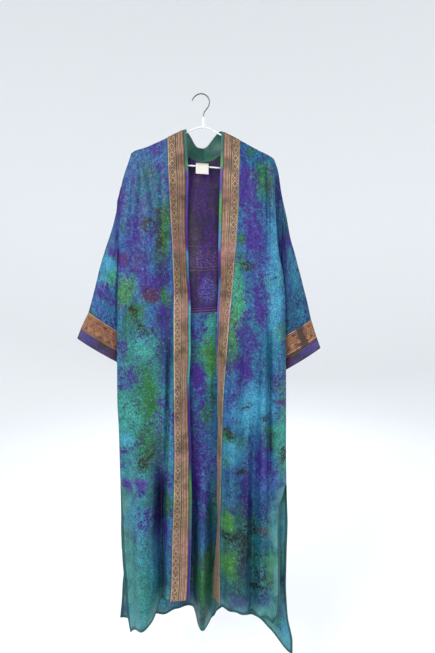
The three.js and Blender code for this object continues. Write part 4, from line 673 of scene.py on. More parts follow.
def tube_mesh(name, path, radius, material, sides=8, closed=False, caps=True, squash=(1.0, 1.0), normal=None):
    """A smooth round or oval bar along a path of points (mm)."""
    path = np.asarray(path, float)
    n = len(path)
    if closed:
        t = np.roll(path, -1, axis=0) - np.roll(path, 1, axis=0)
    else:
        t = np.gradient(path, axis=0)
    t /= np.maximum(np.linalg.norm(t, axis=1, keepdims=True), 1e-9)
    ref = np.array(normal if normal is not None else (0.0, 1.0, 0.0))
    b = np.cross(t, ref)
    b /= np.maximum(np.linalg.norm(b, axis=1, keepdims=True), 1e-9)
    c = np.cross(b, t)
    r = np.full(n, float(radius)) if np.isscalar(radius) else np.asarray(radius, float)
    ang = 2 * np.pi * np.arange(sides) / sides
    ring = (b[:, None, :] * np.cos(ang)[None, :, None] * squash[0] + c[:, None, :] * np.sin(ang)[None, :, None] * squash[1])
    pts = path[:, None, :] + ring * r[:, None, None]
    verts = pts.reshape(-1, 3) / 1000
    faces = []
    last = n if closed else n - 1
    for k in range(last):
        k2 = (k + 1) % n
        for i in range(sides):
            i2 = (i + 1) % sides
            faces.append((k * sides + i, k2 * sides + i, k2 * sides + i2, k * sides + i2))
    if not closed and caps:
        faces.append(tuple(range(sides)))
        faces.append(tuple(reversed(range((n - 1) * sides, n * sides))))
    me = bpy.data.meshes.new(name)
    me.from_pydata(verts.tolist(), [], faces)
    me.validate()
    import bmesh
    bm = bmesh.new(); bm.from_mesh(me)
    bmesh.ops.recalc_face_normals(bm, faces=bm.faces)
    bm.to_mesh(me); bm.free()
    me.polygons.foreach_set("use_smooth", np.ones(len(me.polygons), bool))
    me.materials.append(material)
    me.update()
    ob = bpy.data.objects.new(name, me)
    bpy.context.scene.collection.objects.link(ob)
    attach(ob, "root")
    PIECES.append(ob)
    return ob

# ---------------------------------------------------------------- dye, with painted shade and light, on a grid
def dyed(grid, rows, seed, base=("teal", "blue", "green", "violet"), extra=None, calm=1.0):
    """Dye and speckle colours at the points of a grid, a few patches of it painted shade and painted light. Patches
    from the given tables, their edges bled by noise.
    """
    p = grid.reshape(-1, 3)
    # cloth is dyed flat: the pattern follows x and z, with each layer on its own seed
    q = np.stack([p[:, 0], np.full(len(p), seed * 37.0), p[:, 2]], axis=1)
    wx = 15 * noise(q, 1 / 42, seed + 1, 4)
    wz = 20 * noise(q, 1 / 56, seed + 2, 4)
    x, z = p[:, 0] + wx, p[:, 2] + wz
    a = 0.5 + 0.5 * noise(q, 1 / 110, seed + 3, 2)
    b = 0.5 + 0.5 * noise(q, 1 / 75, seed + 4, 3)
    c = lerp(DYES[base[0]][None], DYES[base[1]][None], smooth(0.32, 0.66, a)[:, None])
    c = lerp(c, DYES[base[2]][None], (0.85 * smooth(0.52, 0.74, b))[:, None])
    sc = np.repeat(DYES[base[3]][None], len(p), axis=0)
    amount = 0.30 + 0.45 * smooth(0.44, 0.8, 0.5 + 0.5 * noise(q, 1 / 58, seed + 5, 3))
    edge = 0.34 * noise(q, 1 / 24, seed + 6, 4, 0.6)
    light = ("sky", "teal2", "green2", "lime", "teal", "green", "blue", "deepteal")
    for cx, cz, rx, rz, turn, name, strength, mode in list(rows) + list(extra or []):
        t = math.radians(turn)
        dx, dz = x - cx, z - cz
        ux = (dx * math.cos(t) + dz * math.sin(t)) / rx
        uz = (-dx * math.sin(t) + dz * math.cos(t)) / rz
        d = np.sqrt(ux * ux + uz * uz) + edge
        w = strength * (1 - smooth(0.35, 1.5, d))
        if mode:
            near = np.minimum(1, w * 1.7)[:, None]
            sc = lerp(sc, DYES[name][None], near)
            amount = np.maximum(amount, 0.95 * w)
            c = lerp(c, c * 0.8 + DYES[name][None] * 0.2, w[:, None])
        else:
            c = lerp(c, DYES[name][None], w[:, None])
            amount = amount * (1 - (0.85 if name == "sky" else 0.32) * w) if name in light else amount
    # fine bleeding of the dye
    fine = noise(q, 1 / 9, seed + 7, 2)
    c = c * (1 + 0.22 * fine)[:, None]
    dye = np.concatenate([np.clip(c, 0, 1), np.ones((len(p), 1))], axis=1)
    speck = np.concatenate([sc, np.clip(amount * calm, 0, 1)[:, None]], axis=1)
    return dye, speck

def by_height(grid, table, seed):
    """Dye that changes down a narrow strip: z, dye rows of the table."""
    p = grid.reshape(-1, 3)
    q = np.stack([p[:, 0], np.full(len(p), seed * 37.0), p[:, 2]], axis=1)
    z = p[:, 2] + 14 * noise(q, 1 / 24, seed, 2)
    hs = np.array([r[0] for r in table], float)[::-1]
    cs = np.array([DYES[r[1]] for r in table])[::-1]
    c = np.stack([np.interp(z, hs, cs[:, k]) for k in range(3)], axis=1)
    c = c * (1 + 0.3 * noise(q, 1 / 11, seed + 3, 3))[:, None]
    return np.concatenate([np.clip(c, 0, 1), np.ones((len(p), 1))], axis=1)

# ---------------------------------------------------------------- materials
class Mat:
    """A small helper for node materials."""
    def __init__(self, name):
        self.m = bpy.data.materials.new(name)
        self.m.use_nodes = True
        self.t = self.m.node_tree
        self.b = self.t.nodes["Principled BSDF"]
        self.out = self.t.nodes["Material Output"]
    def node(self, kind, **props):
        n = self.t.nodes.new(kind)
        for k, v in props.items():
            setattr(n, k, v)
        return n
    def put(self, socket, v):
        if isinstance(v, bpy.types.NodeSocket):
            self.t.links.new(v, socket)
        elif isinstance(v, (tuple, list, np.ndarray)):
            v = [float(c) for c in v]
            socket.default_value = v + [1.0] if len(v) == 3 and len(socket.default_value) == 4 else v
        else:
            socket.default_value = v
    def math(self, op, a, b=None, c=None, clamp=False):
        n = self.node("ShaderNodeMath", operation=op, use_clamp=clamp)
        for s, v in zip(n.inputs, (a, b, c)):
            if v is not None:
                self.put(s, v)
        return n.outputs[0]
    def mix(self, f, a, b, mode="MIX"):
        n = self.node("ShaderNodeMix", data_type="RGBA", blend_type=mode)
        self.put(n.inputs[0], f)
        self.put(n.inputs[6], a)
        self.put(n.inputs[7], b)
        return n.outputs[2]
    def noise(self, vec, scale, detail=2.0, rough=0.5, distort=0.0):
        n = self.node("ShaderNodeTexNoise")
        self.put(n.inputs["Vector"], vec)
        n.inputs["Scale"].default_value = scale
        n.inputs["Detail"].default_value = detail
        n.inputs["Roughness"].default_value = rough
        n.inputs["Distortion"].default_value = distort
        return n.outputs["Fac"]
    def cells(self, vec, scale, feature="F1", random=1.0):
        n = self.node("ShaderNodeTexVoronoi", feature=feature)
        self.put(n.inputs["Vector"], vec)
        n.inputs["Scale"].default_value = scale
        n.inputs["Randomness"].default_value = random
        return n.outputs["Distance"]
    def range(self, v, lo, hi, a=0.0, b=1.0, soft=True):
        n = self.node("ShaderNodeMapRange", interpolation_type="SMOOTHSTEP" if soft else "LINEAR")
        for s, x in zip(n.inputs[:5], (v, lo, hi, a, b)):
            self.put(s, x)
        return n.outputs[0]
    def stretch(self, vec, scale):
        n = self.node("ShaderNodeVectorMath", operation="MULTIPLY")
        self.put(n.inputs[0], vec)
        n.inputs[1].default_value = scale
        return n.outputs[0]
    def uv(self):
        n = self.node("ShaderNodeUVMap", uv_map="cloth")
        s = self.node("ShaderNodeSeparateXYZ")
        self.put(s.inputs[0], n.outputs[0])
        return n.outputs[0], s.outputs[0], s.outputs[1]
    def attribute(self, name):
        n = self.node("ShaderNodeAttribute", attribute_name=name)
        return n.outputs["Color"], n.outputs["Alpha"]
    def ramp(self, f, stops, constant=False):
        n = self.node("ShaderNodeValToRGB")
        r = n.color_ramp
        r.interpolation = "CONSTANT" if constant else "LINEAR"
        while len(r.elements) > 1:
            r.elements.remove(r.elements[-1])
        for k, (pos, col) in enumerate(stops):
            e = r.elements[0] if k == 0 else r.elements.new(pos)
            e.position = pos
            e.color = [float(c) for c in col] + [1.0]
        self.put(n.inputs[0], f)
        return n.outputs[0]
    def bump(self, height, strength, distance, normal=None):
        n = self.node("ShaderNodeBump")
        n.inputs["Strength"].default_value = strength
        n.inputs["Distance"].default_value = distance
        self.put(n.inputs["Height"], height)
        if normal is not None:
            self.put(n.inputs["Normal"], normal)
        return n.outputs[0]
    def set(self, **values):
        names = {"colour": "Base Color", "rough": "Roughness", "metal": "Metallic", "spec": "Specular IOR Level",
                 "sheen": "Sheen Weight", "sheen_rough": "Sheen Roughness", "tint": "Sheen Tint", "normal": "Normal",
                 "aniso": "Anisotropic", "coat": "Coat Weight", "coat_rough": "Coat Roughness"}
        for k, v in values.items():
            self.put(self.b.inputs[names[k]], v)
        return self
    def sheer(self, colour, share):
        """Part of the light goes through thin cloth."""
        tr = self.node("ShaderNodeBsdfTranslucent")
        self.put(tr.inputs["Color"], colour)
        mx = self.node("ShaderNodeMixShader")
        self.put(mx.inputs[0], share)
        self.t.links.new(self.b.outputs[0], mx.inputs[1])
        self.t.links.new(tr.outputs[0], mx.inputs[2])
        self.t.links.new(mx.outputs[0], self.out.inputs["Surface"])


def weave(m, vec, u, v, pitch=0.0007):
    """Height of a plain weave, one thread over the other."""
    a = m.math("SINE", m.math("MULTIPLY", u, 2 * math.pi / pitch))
    b = m.math("SINE", m.math("MULTIPLY", v, 2 * math.pi / pitch))
    return m.math("MULTIPLY", a, b)


def silk_material(name, share=0.05):
    m = Mat(name)
    vec, u, v = m.uv()
    dye, _ = m.attribute("dye")
    sp, amount = m.attribute("speck")
    rim = m.node("ShaderNodeAttribute", attribute_name="rim").outputs["Fac"]
    # leafy speckle of the overdye, in two sizes
    n1 = m.noise(vec, 150, 4.0, 0.66, 0.8)
    n2 = m.noise(m.stretch(vec, (1.0, 1.0, 1.0)), 235, 3.0, 0.66, 0.6)
    n3 = m.noise(vec, 48, 2.0, 0.5)
    s = m.math("ADD", m.math("MULTIPLY", n1, 0.72), m.math("MULTIPLY", n2, 0.28))
    # the speckle gathers into ragged clouds
    cloud = m.noise(vec, 40, 5.0, 0.68, 1.2)
    amount = m.math("ADD", amount, m.math("MULTIPLY", m.math("SUBTRACT", cloud, 0.5), m.range(amount, 0.02, 0.3, 0.6, 2.6)), clamp=True)
    at = m.math("SUBTRACT", 0.612, m.math("MULTIPLY", amount, 0.185))
    spot = m.range(s, m.math("SUBTRACT", at, 0.022), m.math("ADD", at, 0.022))
    # light flecks where the dye did not take
    fleck = m.range(m.noise(m.stretch(vec, (1.0, 0.8, 1.0)), 170, 3.0, 0.65, 0.6), 0.54, 0.62)
    base = m.mix(m.math("MULTIPLY", fleck, 0.55), dye, m.mix(0.42, dye, (0.36, 0.62, 0.74)))
    dim = m.range(n2, 0.40, 0.52, 0.85, 0.0)
    base = m.mix(dim, base, m.mix(1.0, base, (0.30, 0.36, 0.50), "MULTIPLY"))
    colour = m.mix(m.math("MULTIPLY", spot, m.range(amount, 0.1, 0.7, 0.80, 0.97)), base, sp)
    # the speckle itself is uneven
    up = m.range(m.noise(vec, 230, 2.0, 0.6), 0.50, 0.66)
    colour = m.mix(m.math("MULTIPLY", m.math("MULTIPLY", up, spot), 0.30), colour, m.mix(0.6, colour, dye))
    colour = m.mix(m.range(n3, 0.38, 0.60, 0.35, 0.0), colour, m.mix(1.0, colour, (0.40, 0.42, 0.55), "MULTIPLY"))
    gm = m.node("ShaderNodeGamma")
    gm.inputs["Gamma"].default_value = 1.20
    m.put(gm.inputs["Color"], colour)
    colour = gm.outputs[0]
    # a few threads run darker down the length, as woven silk does
    slub = m.noise(m.stretch(vec, (900, 14, 1)), 1.0, 2.0)
    colour = m.mix(m.math("MULTIPLY", m.range(slub, 0.45, 0.7), 0.14), colour, (0.01, 0.01, 0.04))
    # painted light: just above the hem the colour is made paler, for the light that comes through the single cloth
    # there
    pale = m.math("MULTIPLY", m.range(rim, 0.010, 0.060, 1.0, 0.0), m.range(m.noise(vec, 22, 2.0), 0.36, 0.60, 0.15, 0.50))
    colour = m.mix(pale, colour, (0.16, 0.42, 0.42))
    # the narrow hem is three layers thick, so it looks darker
    hem = m.range(rim, 0.0070, 0.0078, 1.0, 0.0)
    colour = m.mix(m.math("MULTIPLY", hem, 0.92), colour, m.mix(0.45, m.mix(1.0, colour, (0.18, 0.34, 0.34), "MULTIPLY"), (0.008, 0.070, 0.065)))
    crumple = m.noise(m.stretch(vec, (1.0, 0.22, 1.0)), 46, 3.0, 0.55, 0.4)
    fine = m.noise(m.stretch(vec, (1.0, 0.4, 1.0)), 150, 3.0, 0.6)
    n = m.bump(crumple, 0.5, 0.004)
    n = m.bump(fine, 0.30, 0.0012, n)
    n = m.bump(hem, 0.4, 0.0006, n)
    n = m.bump(weave(m, vec, u, v), 0.18, 0.0001, n)
    rough = m.math("ADD", 0.40, m.math("MULTIPLY", n1, 0.16))
    m.set(colour=colour, rough=rough, spec=0.26, sheen=0.03, sheen_rough=0.4, normal=n)
    m.b.inputs["Sheen Tint"].default_value = (0.6, 0.8, 1.0, 1.0)
    sheer = m.range(rim, 0.008, 0.20, 0.26, share)
    sheer = m.math("MULTIPLY", sheer, m.math("SUBTRACT", 1.0, m.math("MULTIPLY", hem, 0.8)))
    m.sheer(colour, sheer)
    return m.m


def brocade_material(name):
    m = Mat(name)
    vec, u, v = m.uv()       # u from the outer edge of the border, v along it, in metres
    gold, rose, tan = srgb(216, 186, 148), srgb(178, 122, 114), srgb(192, 152, 122)
    dark, olive, brown = srgb(52, 36, 32), srgb(112, 98, 64), srgb(92, 64, 52)
    # stripes towards the inner edge
    w = 1 / 0.048
    stops = [(0.0, gold), (0.0015 * w, dark), (0.0030 * w, brown), (0.0190 * w, gold), (0.0212 * w, brown), (0.0232 * w, olive),
             (0.0258 * w, gold), (0.0276 * w, brown), (0.0292 * w, rose), (0.0322 * w, gold), (0.0340 * w, brown), (0.0354 * w, tan),
             (0.0382 * w, dark), (0.0392 * w, rose), (0.0418 * w, gold), (0.0434 * w, brown), (0.0446 * w, tan), (0.0466 * w, dark)]
    un = m.math("MULTIPLY", u, w, clamp=True)
    colour = m.ramp(un, stops, constant=True)
    # chained lozenges down the outer side
    pitch, mid, half = 0.0225, 0.0110, 0.0086
    saw = m.math("FRACT", m.math("MULTIPLY", v, 1 / pitch))
    dv = m.math("ABSOLUTE", m.math("MULTIPLY", m.math("SUBTRACT", saw, 0.5), 2.0))
    du = m.math("MULTIPLY", m.math("ABSOLUTE", m.math("SUBTRACT", u, mid)), 1 / half)
    wob = m.math("MULTIPLY", m.math("SUBTRACT", m.noise(vec, 420, 2.0), 0.5), 0.22)
    d = m.math("ADD", m.math("ADD", du, dv), wob)
    inside = m.range(d, 0.94, 1.02, 1.0, 0.0)
    line = m.math("MULTIPLY", m.range(d, 0.58, 0.68), m.range(d, 0.94, 1.02, 1.0, 0.0))
    core = m.range(d, 0.30, 0.40, 1.0, 0.0)
    dot = m.range(d, 0.10, 0.16, 1.0, 0.0)
    zone = m.math("MULTIPLY", m.math("GREATER_THAN", u, 0.0030), m.math("LESS_THAN", u, 0.0195))
    loz = m.mix(inside, dark, srgb(128, 84, 72))
    loz = m.mix(line, loz, gold)
    loz = m.mix(core, loz, brown)
    loz = m.mix(dot, loz, gold)
    # small triangles between the lozenges
    gapd = m.math("SUBTRACT", d, 1.18)
    tri = m.math("MULTIPLY", m.range(gapd, 0.0, 0.08), m.range(gapd, 0.42, 0.50, 1.0, 0.0))
    loz = m.mix(m.math("MULTIPLY", tri, 0.75), loz, tan)
    colour = m.mix(zone, colour, loz)
    # scalloped gold edge
    scallop = m.math("ADD", 0.0017, m.math("MULTIPLY", m.math("ABSOLUTE", m.math("SINE", m.math("MULTIPLY", v, math.pi / 0.0072))), 0.0016))
    colour = m.mix(m.math("LESS_THAN", u, scallop), colour, gold)
    # the overdye stains the border unevenly along its length
    far = m.stretch(vec, (0.5, 1.0, 1.0))
    t1 = m.range(m.noise(far, 6.5, 3.0, 0.6), 0.44, 0.62)
    t2 = m.range(m.noise(m.stretch(vec, (0.8, 1.0, 1.0)), 17, 3.0, 0.6), 0.50, 0.66)
    colour = m.mix(m.math("MULTIPLY", t1, 0.75), colour, m.mix(1.0, colour, (0.58, 0.55, 0.40), "MULTIPLY"))
    colour = m.mix(m.math("MULTIPLY", t2, 0.80), colour, m.mix(1.0, colour, (0.36, 0.28, 0.27), "MULTIPLY"))
    t3 = m.range(m.noise(far, 9.0, 2.0, 0.5), 0.50, 0.66)
    colour = m.mix(m.math("MULTIPLY", t3, 0.45), colour, srgb(188, 134, 126))
    colour = m.mix(m.range(m.noise(vec, 75, 3.0, 0.65), 0.42, 0.60, 0.5, 0.0), colour, m.mix(1.0, colour, (0.50, 0.44, 0.42), "MULTIPLY"))
    # it is darker towards the neck and the hem
    ends = m.math("MAXIMUM", m.range(v, 0.28, 0.52, 0.55, 0.08), m.range(v, 0.85, 1.15, 0.0, 0.95))
    colour = m.mix(ends, colour, m.mix(1.0, colour, (0.70, 0.66, 0.61), "MULTIPLY"))
    thread = m.math("SINE", m.math("MULTIPLY", v, 2 * math.pi / 0.0011))
    colour = m.mix(m.range(thread, -0.2, 0.9, 0.0, 0.16), colour, (0.02, 0.015, 0.01))
    grain = m.noise(m.stretch(vec, (1.0, 0.25, 1.0)), 900, 2.0)
    colour = m.mix(m.range(grain, 0.35, 0.65, 0.28, 0.0), colour, (0.03, 0.02, 0.02))
    n = m.bump(m.math("ADD", m.math("MULTIPLY", m.math("ADD", line, core), 0.5), m.math("MULTIPLY", thread, 0.3)), 0.45, 0.0005)
    n = m.bump(m.noise(m.stretch(vec, (0.4, 1.0, 1.0)), 70, 2.0), 0.35, 0.002, n)
    m.set(colour=colour, rough=m.math("ADD", 0.42, m.math("MULTIPLY", grain, 0.22)), spec=0.5, normal=n)
    m.b.inputs["Metallic"].default_value = 0.18
    m.b.inputs["Sheen Weight"].default_value = 0.12
    return m.m


def cuff_material(name, fold_u, fold_half, fold_shade_and_stain, tone):
    m = Mat(name)
    vec, u, v = m.uv()       # u round the cuff, v from its upper edge, in metres
    copper, gold, maroon, dark, rust = srgb(192, 150, 122), srgb(224, 192, 158), srgb(64, 36, 32), srgb(36, 22, 22), srgb(116, 76, 60)
    ground = m.mix(m.range(m.noise(vec, 26, 3.0, 0.6), 0.4, 0.65), rust, maroon)
    def flower(cell, across, shift_u, centre_v, size, petals):
        fu = m.math("MULTIPLY", m.math("SUBTRACT", m.math("FRACT", m.math("ADD", m.math("MULTIPLY", u, 1 / cell), shift_u)), 0.5), cell)
        fv = m.math("SUBTRACT", v, centre_v)
        r = m.math("SQRT", m.math("ADD", m.math("MULTIPLY", fu, fu), m.math("MULTIPLY", fv, fv)))
        a = m.math("ARCTAN2", fv, fu)
        lobe = m.math("ADD", 0.66, m.math("MULTIPLY", m.math("ABSOLUTE", m.math("COSINE", m.math("MULTIPLY", a, petals / 2))), 0.34))
        d = m.math("DIVIDE", r, m.math("MULTIPLY", lobe, size))
        return d
    wob = m.math("MULTIPLY", m.math("SUBTRACT", m.noise(vec, 300, 2.0), 0.5), 0.3)
    d1 = m.math("ADD", flower(0.026, 0, 0.0, 0.0265, 0.0112, 6), wob)
    d2 = m.math("ADD", flower(0.026, 0, 0.5, 0.0145, 0.0070, 5), wob)
    d3 = m.math("ADD", flower(0.026, 0, 0.5, 0.0388, 0.0072, 5), wob)
    colour = ground
    for d, a, b in ((d1, copper, rust), (d2, copper, maroon), (d3, gold, rust)):
        colour = m.mix(m.range(d, 0.92, 1.04, 1.0, 0.0), colour, a)
        colour = m.mix(m.math("MULTIPLY", m.range(d, 0.44, 0.54), m.range(d, 0.68, 0.78, 1.0, 0.0)), colour, dark)
        colour = m.mix(m.range(d, 0.22, 0.32, 1.0, 0.0), colour, b)
    # a trailing stem winds between the flowers
    stem = m.math("ABSOLUTE", m.math("SUBTRACT", v, m.math("ADD", 0.0265, m.math("MULTIPLY", m.math("SINE", m.math("MULTIPLY", u, 2 * math.pi / 0.031)), 0.0165))))
    leaf = m.range(m.cells(m.stretch(vec, (1.0, 1.3, 1.0)), 190, "F1"), 0.26, 0.34, 1.0, 0.0)
    busy = m.math("MINIMUM", m.math("MINIMUM", d1, d2), d3)
    colour = m.mix(m.math("MULTIPLY", m.math("MULTIPLY", leaf, 0.55), m.range(busy, 1.1, 1.3)), colour, copper)
    colour = m.mix(m.math("MULTIPLY", m.range(stem, 0.0008, 0.0014, 0.8, 0.0), m.range(busy, 1.0, 1.15)), colour, gold)
    # edging lines
    for at, half, tone in ((0.0016, 0.0010, gold), (0.0042, 0.0008, dark), (0.0062, 0.0007, copper), (0.0480, 0.0008, copper), (0.0500, 0.0008, dark), (0.0528, 0.0012, gold)):
        colour = m.mix(m.range(m.math("ABSOLUTE", m.math("SUBTRACT", v, at)), half, half + 0.0004, 1.0, 0.0), colour, tone)
    stain = m.range(m.noise(vec, 12, 3.0, 0.6), 0.46, 0.68)
    colour = m.mix(m.math("MULTIPLY", stain, 0.45), colour, m.mix(1.0, colour, (0.42, 0.34, 0.34), "MULTIPLY"))
    stain2 = m.range(m.noise(vec, 34, 3.0, 0.6), 0.50, 0.64)
    colour = m.mix(m.math("MULTIPLY", stain2, 0.6), colour, m.mix(1.0, colour, (0.30, 0.24, 0.26), "MULTIPLY"))
    # a dark band down the cuff: painted shade of a soft fold, together with a stain along it
    off = m.math("ABSOLUTE", m.math("SUBTRACT", m.math("SUBTRACT", u, fold_u), m.math("MULTIPLY", m.math("SUBTRACT", m.noise(vec, 70, 4.0, 0.7), 0.5), 0.060)))
    colour = m.mix(m.range(off, fold_half * 0.25, fold_half, fold_shade_and_stain, 0.0), colour, (0.030, 0.010, 0.009))
    colour = m.mix(1.0, colour, tone, "MULTIPLY")
    thread = m.math("SINE", m.math("MULTIPLY", v, 2 * math.pi / 0.0011))
    grain = m.noise(m.stretch(vec, (0.25, 1.0, 1.0)), 900, 2.0)
    colour = m.mix(m.range(grain, 0.35, 0.65, 0.35, 0.0), colour, (0.03, 0.015, 0.015))
    n = m.bump(m.math("ADD", m.math("MULTIPLY", m.range(busy, 0.85, 1.05, 1.0, 0.0), 0.7), m.math("MULTIPLY", thread, 0.2)), 0.4, 0.0005)
    n = m.bump(m.noise(vec, 60, 2.0), 0.3, 0.002, n)
    m.set(colour=colour, rough=m.math("ADD", 0.42, m.math("MULTIPLY", grain, 0.2)), spec=0.5, normal=n)
    m.b.inputs["Metallic"].default_value = 0.18
    m.b.inputs["Sheen Weight"].default_value = 0.12
    return m.m


def yoke_material(name):
    m = Mat(name)
    vec, u, v = m.uv()       # u across from the middle, v is the height in the row frame, in metres
    dye, _ = m.attribute("dye")
    sp, amount = m.attribute("speck")
    n1 = m.noise(vec, 150, 4.0, 0.65, 0.6)
    n3 = m.noise(vec, 36, 3.0, 0.6)
    spot = m.range(n1, m.math("SUBTRACT", 0.62, m.math("MULTIPLY", amount, 0.2)), 0.66)
    colour = m.mix(m.math("MULTIPLY", spot, 0.55), dye, sp)
    n4 = m.noise(vec, 24, 4.0, 0.62, 0.8)
    colour = m.mix(m.range(n4, 0.50, 0.62, 0.0, 0.55), colour, srgb(58, 44, 44))
    colour = m.mix(m.range(n3, 0.35, 0.62, 0.70, 0.0), colour, (0.010, 0.004, 0.022))
    grit = m.range(m.noise(vec, 150, 3.0, 0.65, 0.5), 0.42, 0.56, 0.75, 0.0)
    colour = m.mix(grit, colour, (0.008, 0.003, 0.020))
    # a leafy woven band across the length, closed by two thin lines
    lilac, bronze, steelblue = srgb(112, 84, 160), srgb(112, 98, 84), srgb(96, 104, 200)
    flecks = m.range(m.noise(m.stretch(vec, (1.0, 1.3, 1.0)), 170, 3.0, 0.66, 0.5), 0.50, 0.58)
    zone = m.math("MULTIPLY", m.range(v, -0.478, -0.472), m.range(v, -0.440, -0.424, 1.0, 0.0))
    tone = m.mix(m.range(n3, 0.45, 0.6), lilac, bronze)
    colour = m.mix(m.math("MULTIPLY", m.math("MULTIPLY", flecks, zone), 0.40), colour, tone)
    bow = m.math("SUBTRACT", v, m.math("MULTIPLY", m.math("MULTIPLY", u, u), 2.0))
    for at, half, strength in ((-0.4795, 0.0010, 0.36), (-0.4880, 0.0009, 0.32), (-0.4205, 0.0009, 0.16)):
        d = m.math("ABSOLUTE", m.math("SUBTRACT", bow, at))
        colour = m.mix(m.math("MULTIPLY", m.range(d, half, half + 0.0008, 1.0, 0.0), m.range(n1, 0.38, 0.60, strength * 0.5, strength)), colour, bronze)
    # sprays of small dots lower down, one every 120 mm
    cell = 0.120
    fu = m.math("MULTIPLY", m.math("SUBTRACT", m.math("FRACT", m.math("ADD", m.math("MULTIPLY", u, 1 / cell), 0.36)), 0.5), cell)
    fv = m.math("SUBTRACT", v, -0.544)
    lean = m.math("DIVIDE", fu, m.range(fv, 0.0, 0.050, 0.032, 0.014, soft=False))
    tall = m.math("DIVIDE", fv, 0.046)
    dd = m.math("ADD", m.math("MULTIPLY", lean, lean), m.math("MULTIPLY", tall, tall))
    dots = m.range(m.noise(vec, 240, 3.0, 0.65, 0.4), 0.48, 0.58)
    colour = m.mix(m.math("MULTIPLY", m.math("MULTIPLY", m.range(dd, 0.20, 1.35, 1.0, 0.0), dots), 0.55), colour, steelblue)
    # hem lines over the cross seam
    edge = m.math("SUBTRACT", v, m.math("ADD", -0.613, m.math("MULTIPLY", u, 0.07)))
    for at, half, tone in ((0.0075, 0.0009, srgb(92, 70, 110)), (0.0150, 0.0010, srgb(70, 50, 110)), (0.0008, 0.0009, srgb(132, 104, 96))):
        colour = m.mix(m.math("MULTIPLY", m.range(m.math("ABSOLUTE", m.math("SUBTRACT", edge, at)), half, half + 0.0005, 1.0, 0.0), 0.7), colour, tone)
    n = m.bump(m.noise(m.stretch(vec, (1.0, 0.3, 1.0)), 44, 3.0, 0.55, 0.4), 0.4, 0.004)
    n = m.bump(weave(m, vec, u, v), 0.18, 0.0001, n)
    m.set(colour=colour, rough=m.math("ADD", 0.42, m.math("MULTIPLY", n1, 0.16)), spec=0.28, sheen=0.05, sheen_rough=0.4, normal=n)
    return m.m


def plain_silk(name, a, b, c, seam_u=None, dyed_mesh=False, patchy=False):
    """Silk dyed in three near tones with a row of hand stitches along each edge of the band."""
    m = Mat(name)
    vec, u, v = m.uv()
    n0 = m.noise(vec, 14, 3.0, 0.6)
    n1 = m.noise(vec, 130, 4.0, 0.65, 0.5)
    if dyed_mesh:
        colour = m.attribute("dye")[0]
        colour = m.mix(m.range(n1, 0.50, 0.62, 0.0, 0.55), colour, m.mix(1.0, colour, (0.35, 0.42, 0.62), "MULTIPLY"))
        colour = m.mix(m.range(n0, 0.38, 0.62, 0.0, 0.25), colour, m.mix(1.0, colour, (0.5, 0.5, 0.6), "MULTIPLY"))
    else:
        colour = m.mix(m.range(n0, 0.38, 0.62), a, b)
        colour = m.mix(m.range(n1, 0.52, 0.64, 0.0, 0.75), colour, c)
    if patchy:
        big = m.noise(m.stretch(vec, (1.0, 1.3, 1.0)), 21, 3.0, 0.6, 0.6)
        colour = m.mix(m.range(big, 0.50, 0.56, 0.0, 0.9), colour, c)
        grit = m.noise(vec, 180, 3.0, 0.65, 0.4)
        colour = m.mix(m.range(grit, 0.46, 0.56, 0.55, 0.0), colour, m.mix(1.0, colour, (0.25, 0.25, 0.35), "MULTIPLY"))
    n = m.bump(m.noise(m.stretch(vec, (1.0, 0.3, 1.0)), 60, 3.0, 0.55), 0.35, 0.003)
    if seam_u:
        for at in seam_u:
            du = m.math("ABSOLUTE", m.math("SUBTRACT", u, at))
            dash = m.math("GREATER_THAN", m.math("FRACT", m.math("MULTIPLY", v, 1 / 0.0034)), 0.32)
            st = m.math("MULTIPLY", m.range(du, 0.0003, 0.0007, 1.0, 0.0), dash)
            colour = m.mix(m.math("MULTIPLY", st, 0.6), colour, m.mix(0.5, colour, (0.35, 0.45, 0.45)))
            n = m.bump(m.range(du, 0.0, 0.0022, 0.0, 1.0), 0.3, 0.0006, n)
    n = m.bump(weave(m, vec, u, v), 0.18, 0.0001, n)
    m.set(colour=colour, rough=m.math("ADD", 0.40, m.math("MULTIPLY", n1, 0.15)), spec=0.45, sheen=0.2, sheen_rough=0.35, normal=n)
    return m.m


def label_material(name):
    m = Mat(name)
    vec, u, v = m.uv()
    rib = m.math("SINE", m.math("MULTIPLY", v, 2 * math.pi / 0.0008))
    colour = m.mix(m.noise(vec, 300, 2.0), srgb(214, 211, 202), srgb(190, 187, 178))
    n = m.bump(rib, 0.25, 0.0002)
    m.set(colour=colour, rough=0.8, spec=0.3, normal=n)
    return m.m


def plastic_material(name):
    m = Mat(name)
    tc = m.node("ShaderNodeTexCoord").outputs["Object"]
    n0 = m.noise(tc, 30, 3.0, 0.6)
    colour = m.mix(m.range(n0, 0.4, 0.7), srgb(222, 222, 220), srgb(204, 204, 202))
    n = m.bump(m.noise(tc, 900, 2.0), 0.12, 0.0002)
    m.set(colour=colour, rough=m.math("ADD", 0.32, m.math("MULTIPLY", n0, 0.14)), spec=0.5, normal=n)
    return m.m


def steel_material(name):
    m = Mat(name)
    tc = m.node("ShaderNodeTexCoord").outputs["Object"]
    n0 = m.noise(tc, 60, 3.0, 0.6)
    drawn = m.noise(m.stretch(tc, (1.0, 1.0, 0.2)), 900, 2.0)
    colour = m.mix(m.range(n0, 0.4, 0.7), srgb(112, 112, 114), srgb(84, 84, 88))
    n = m.bump(drawn, 0.15, 0.0002)
    m.set(colour=colour, rough=m.math("ADD", 0.26, m.math("MULTIPLY", n0, 0.2)), spec=0.5, normal=n)
    m.b.inputs["Metallic"].default_value = 1.0
    return m.m


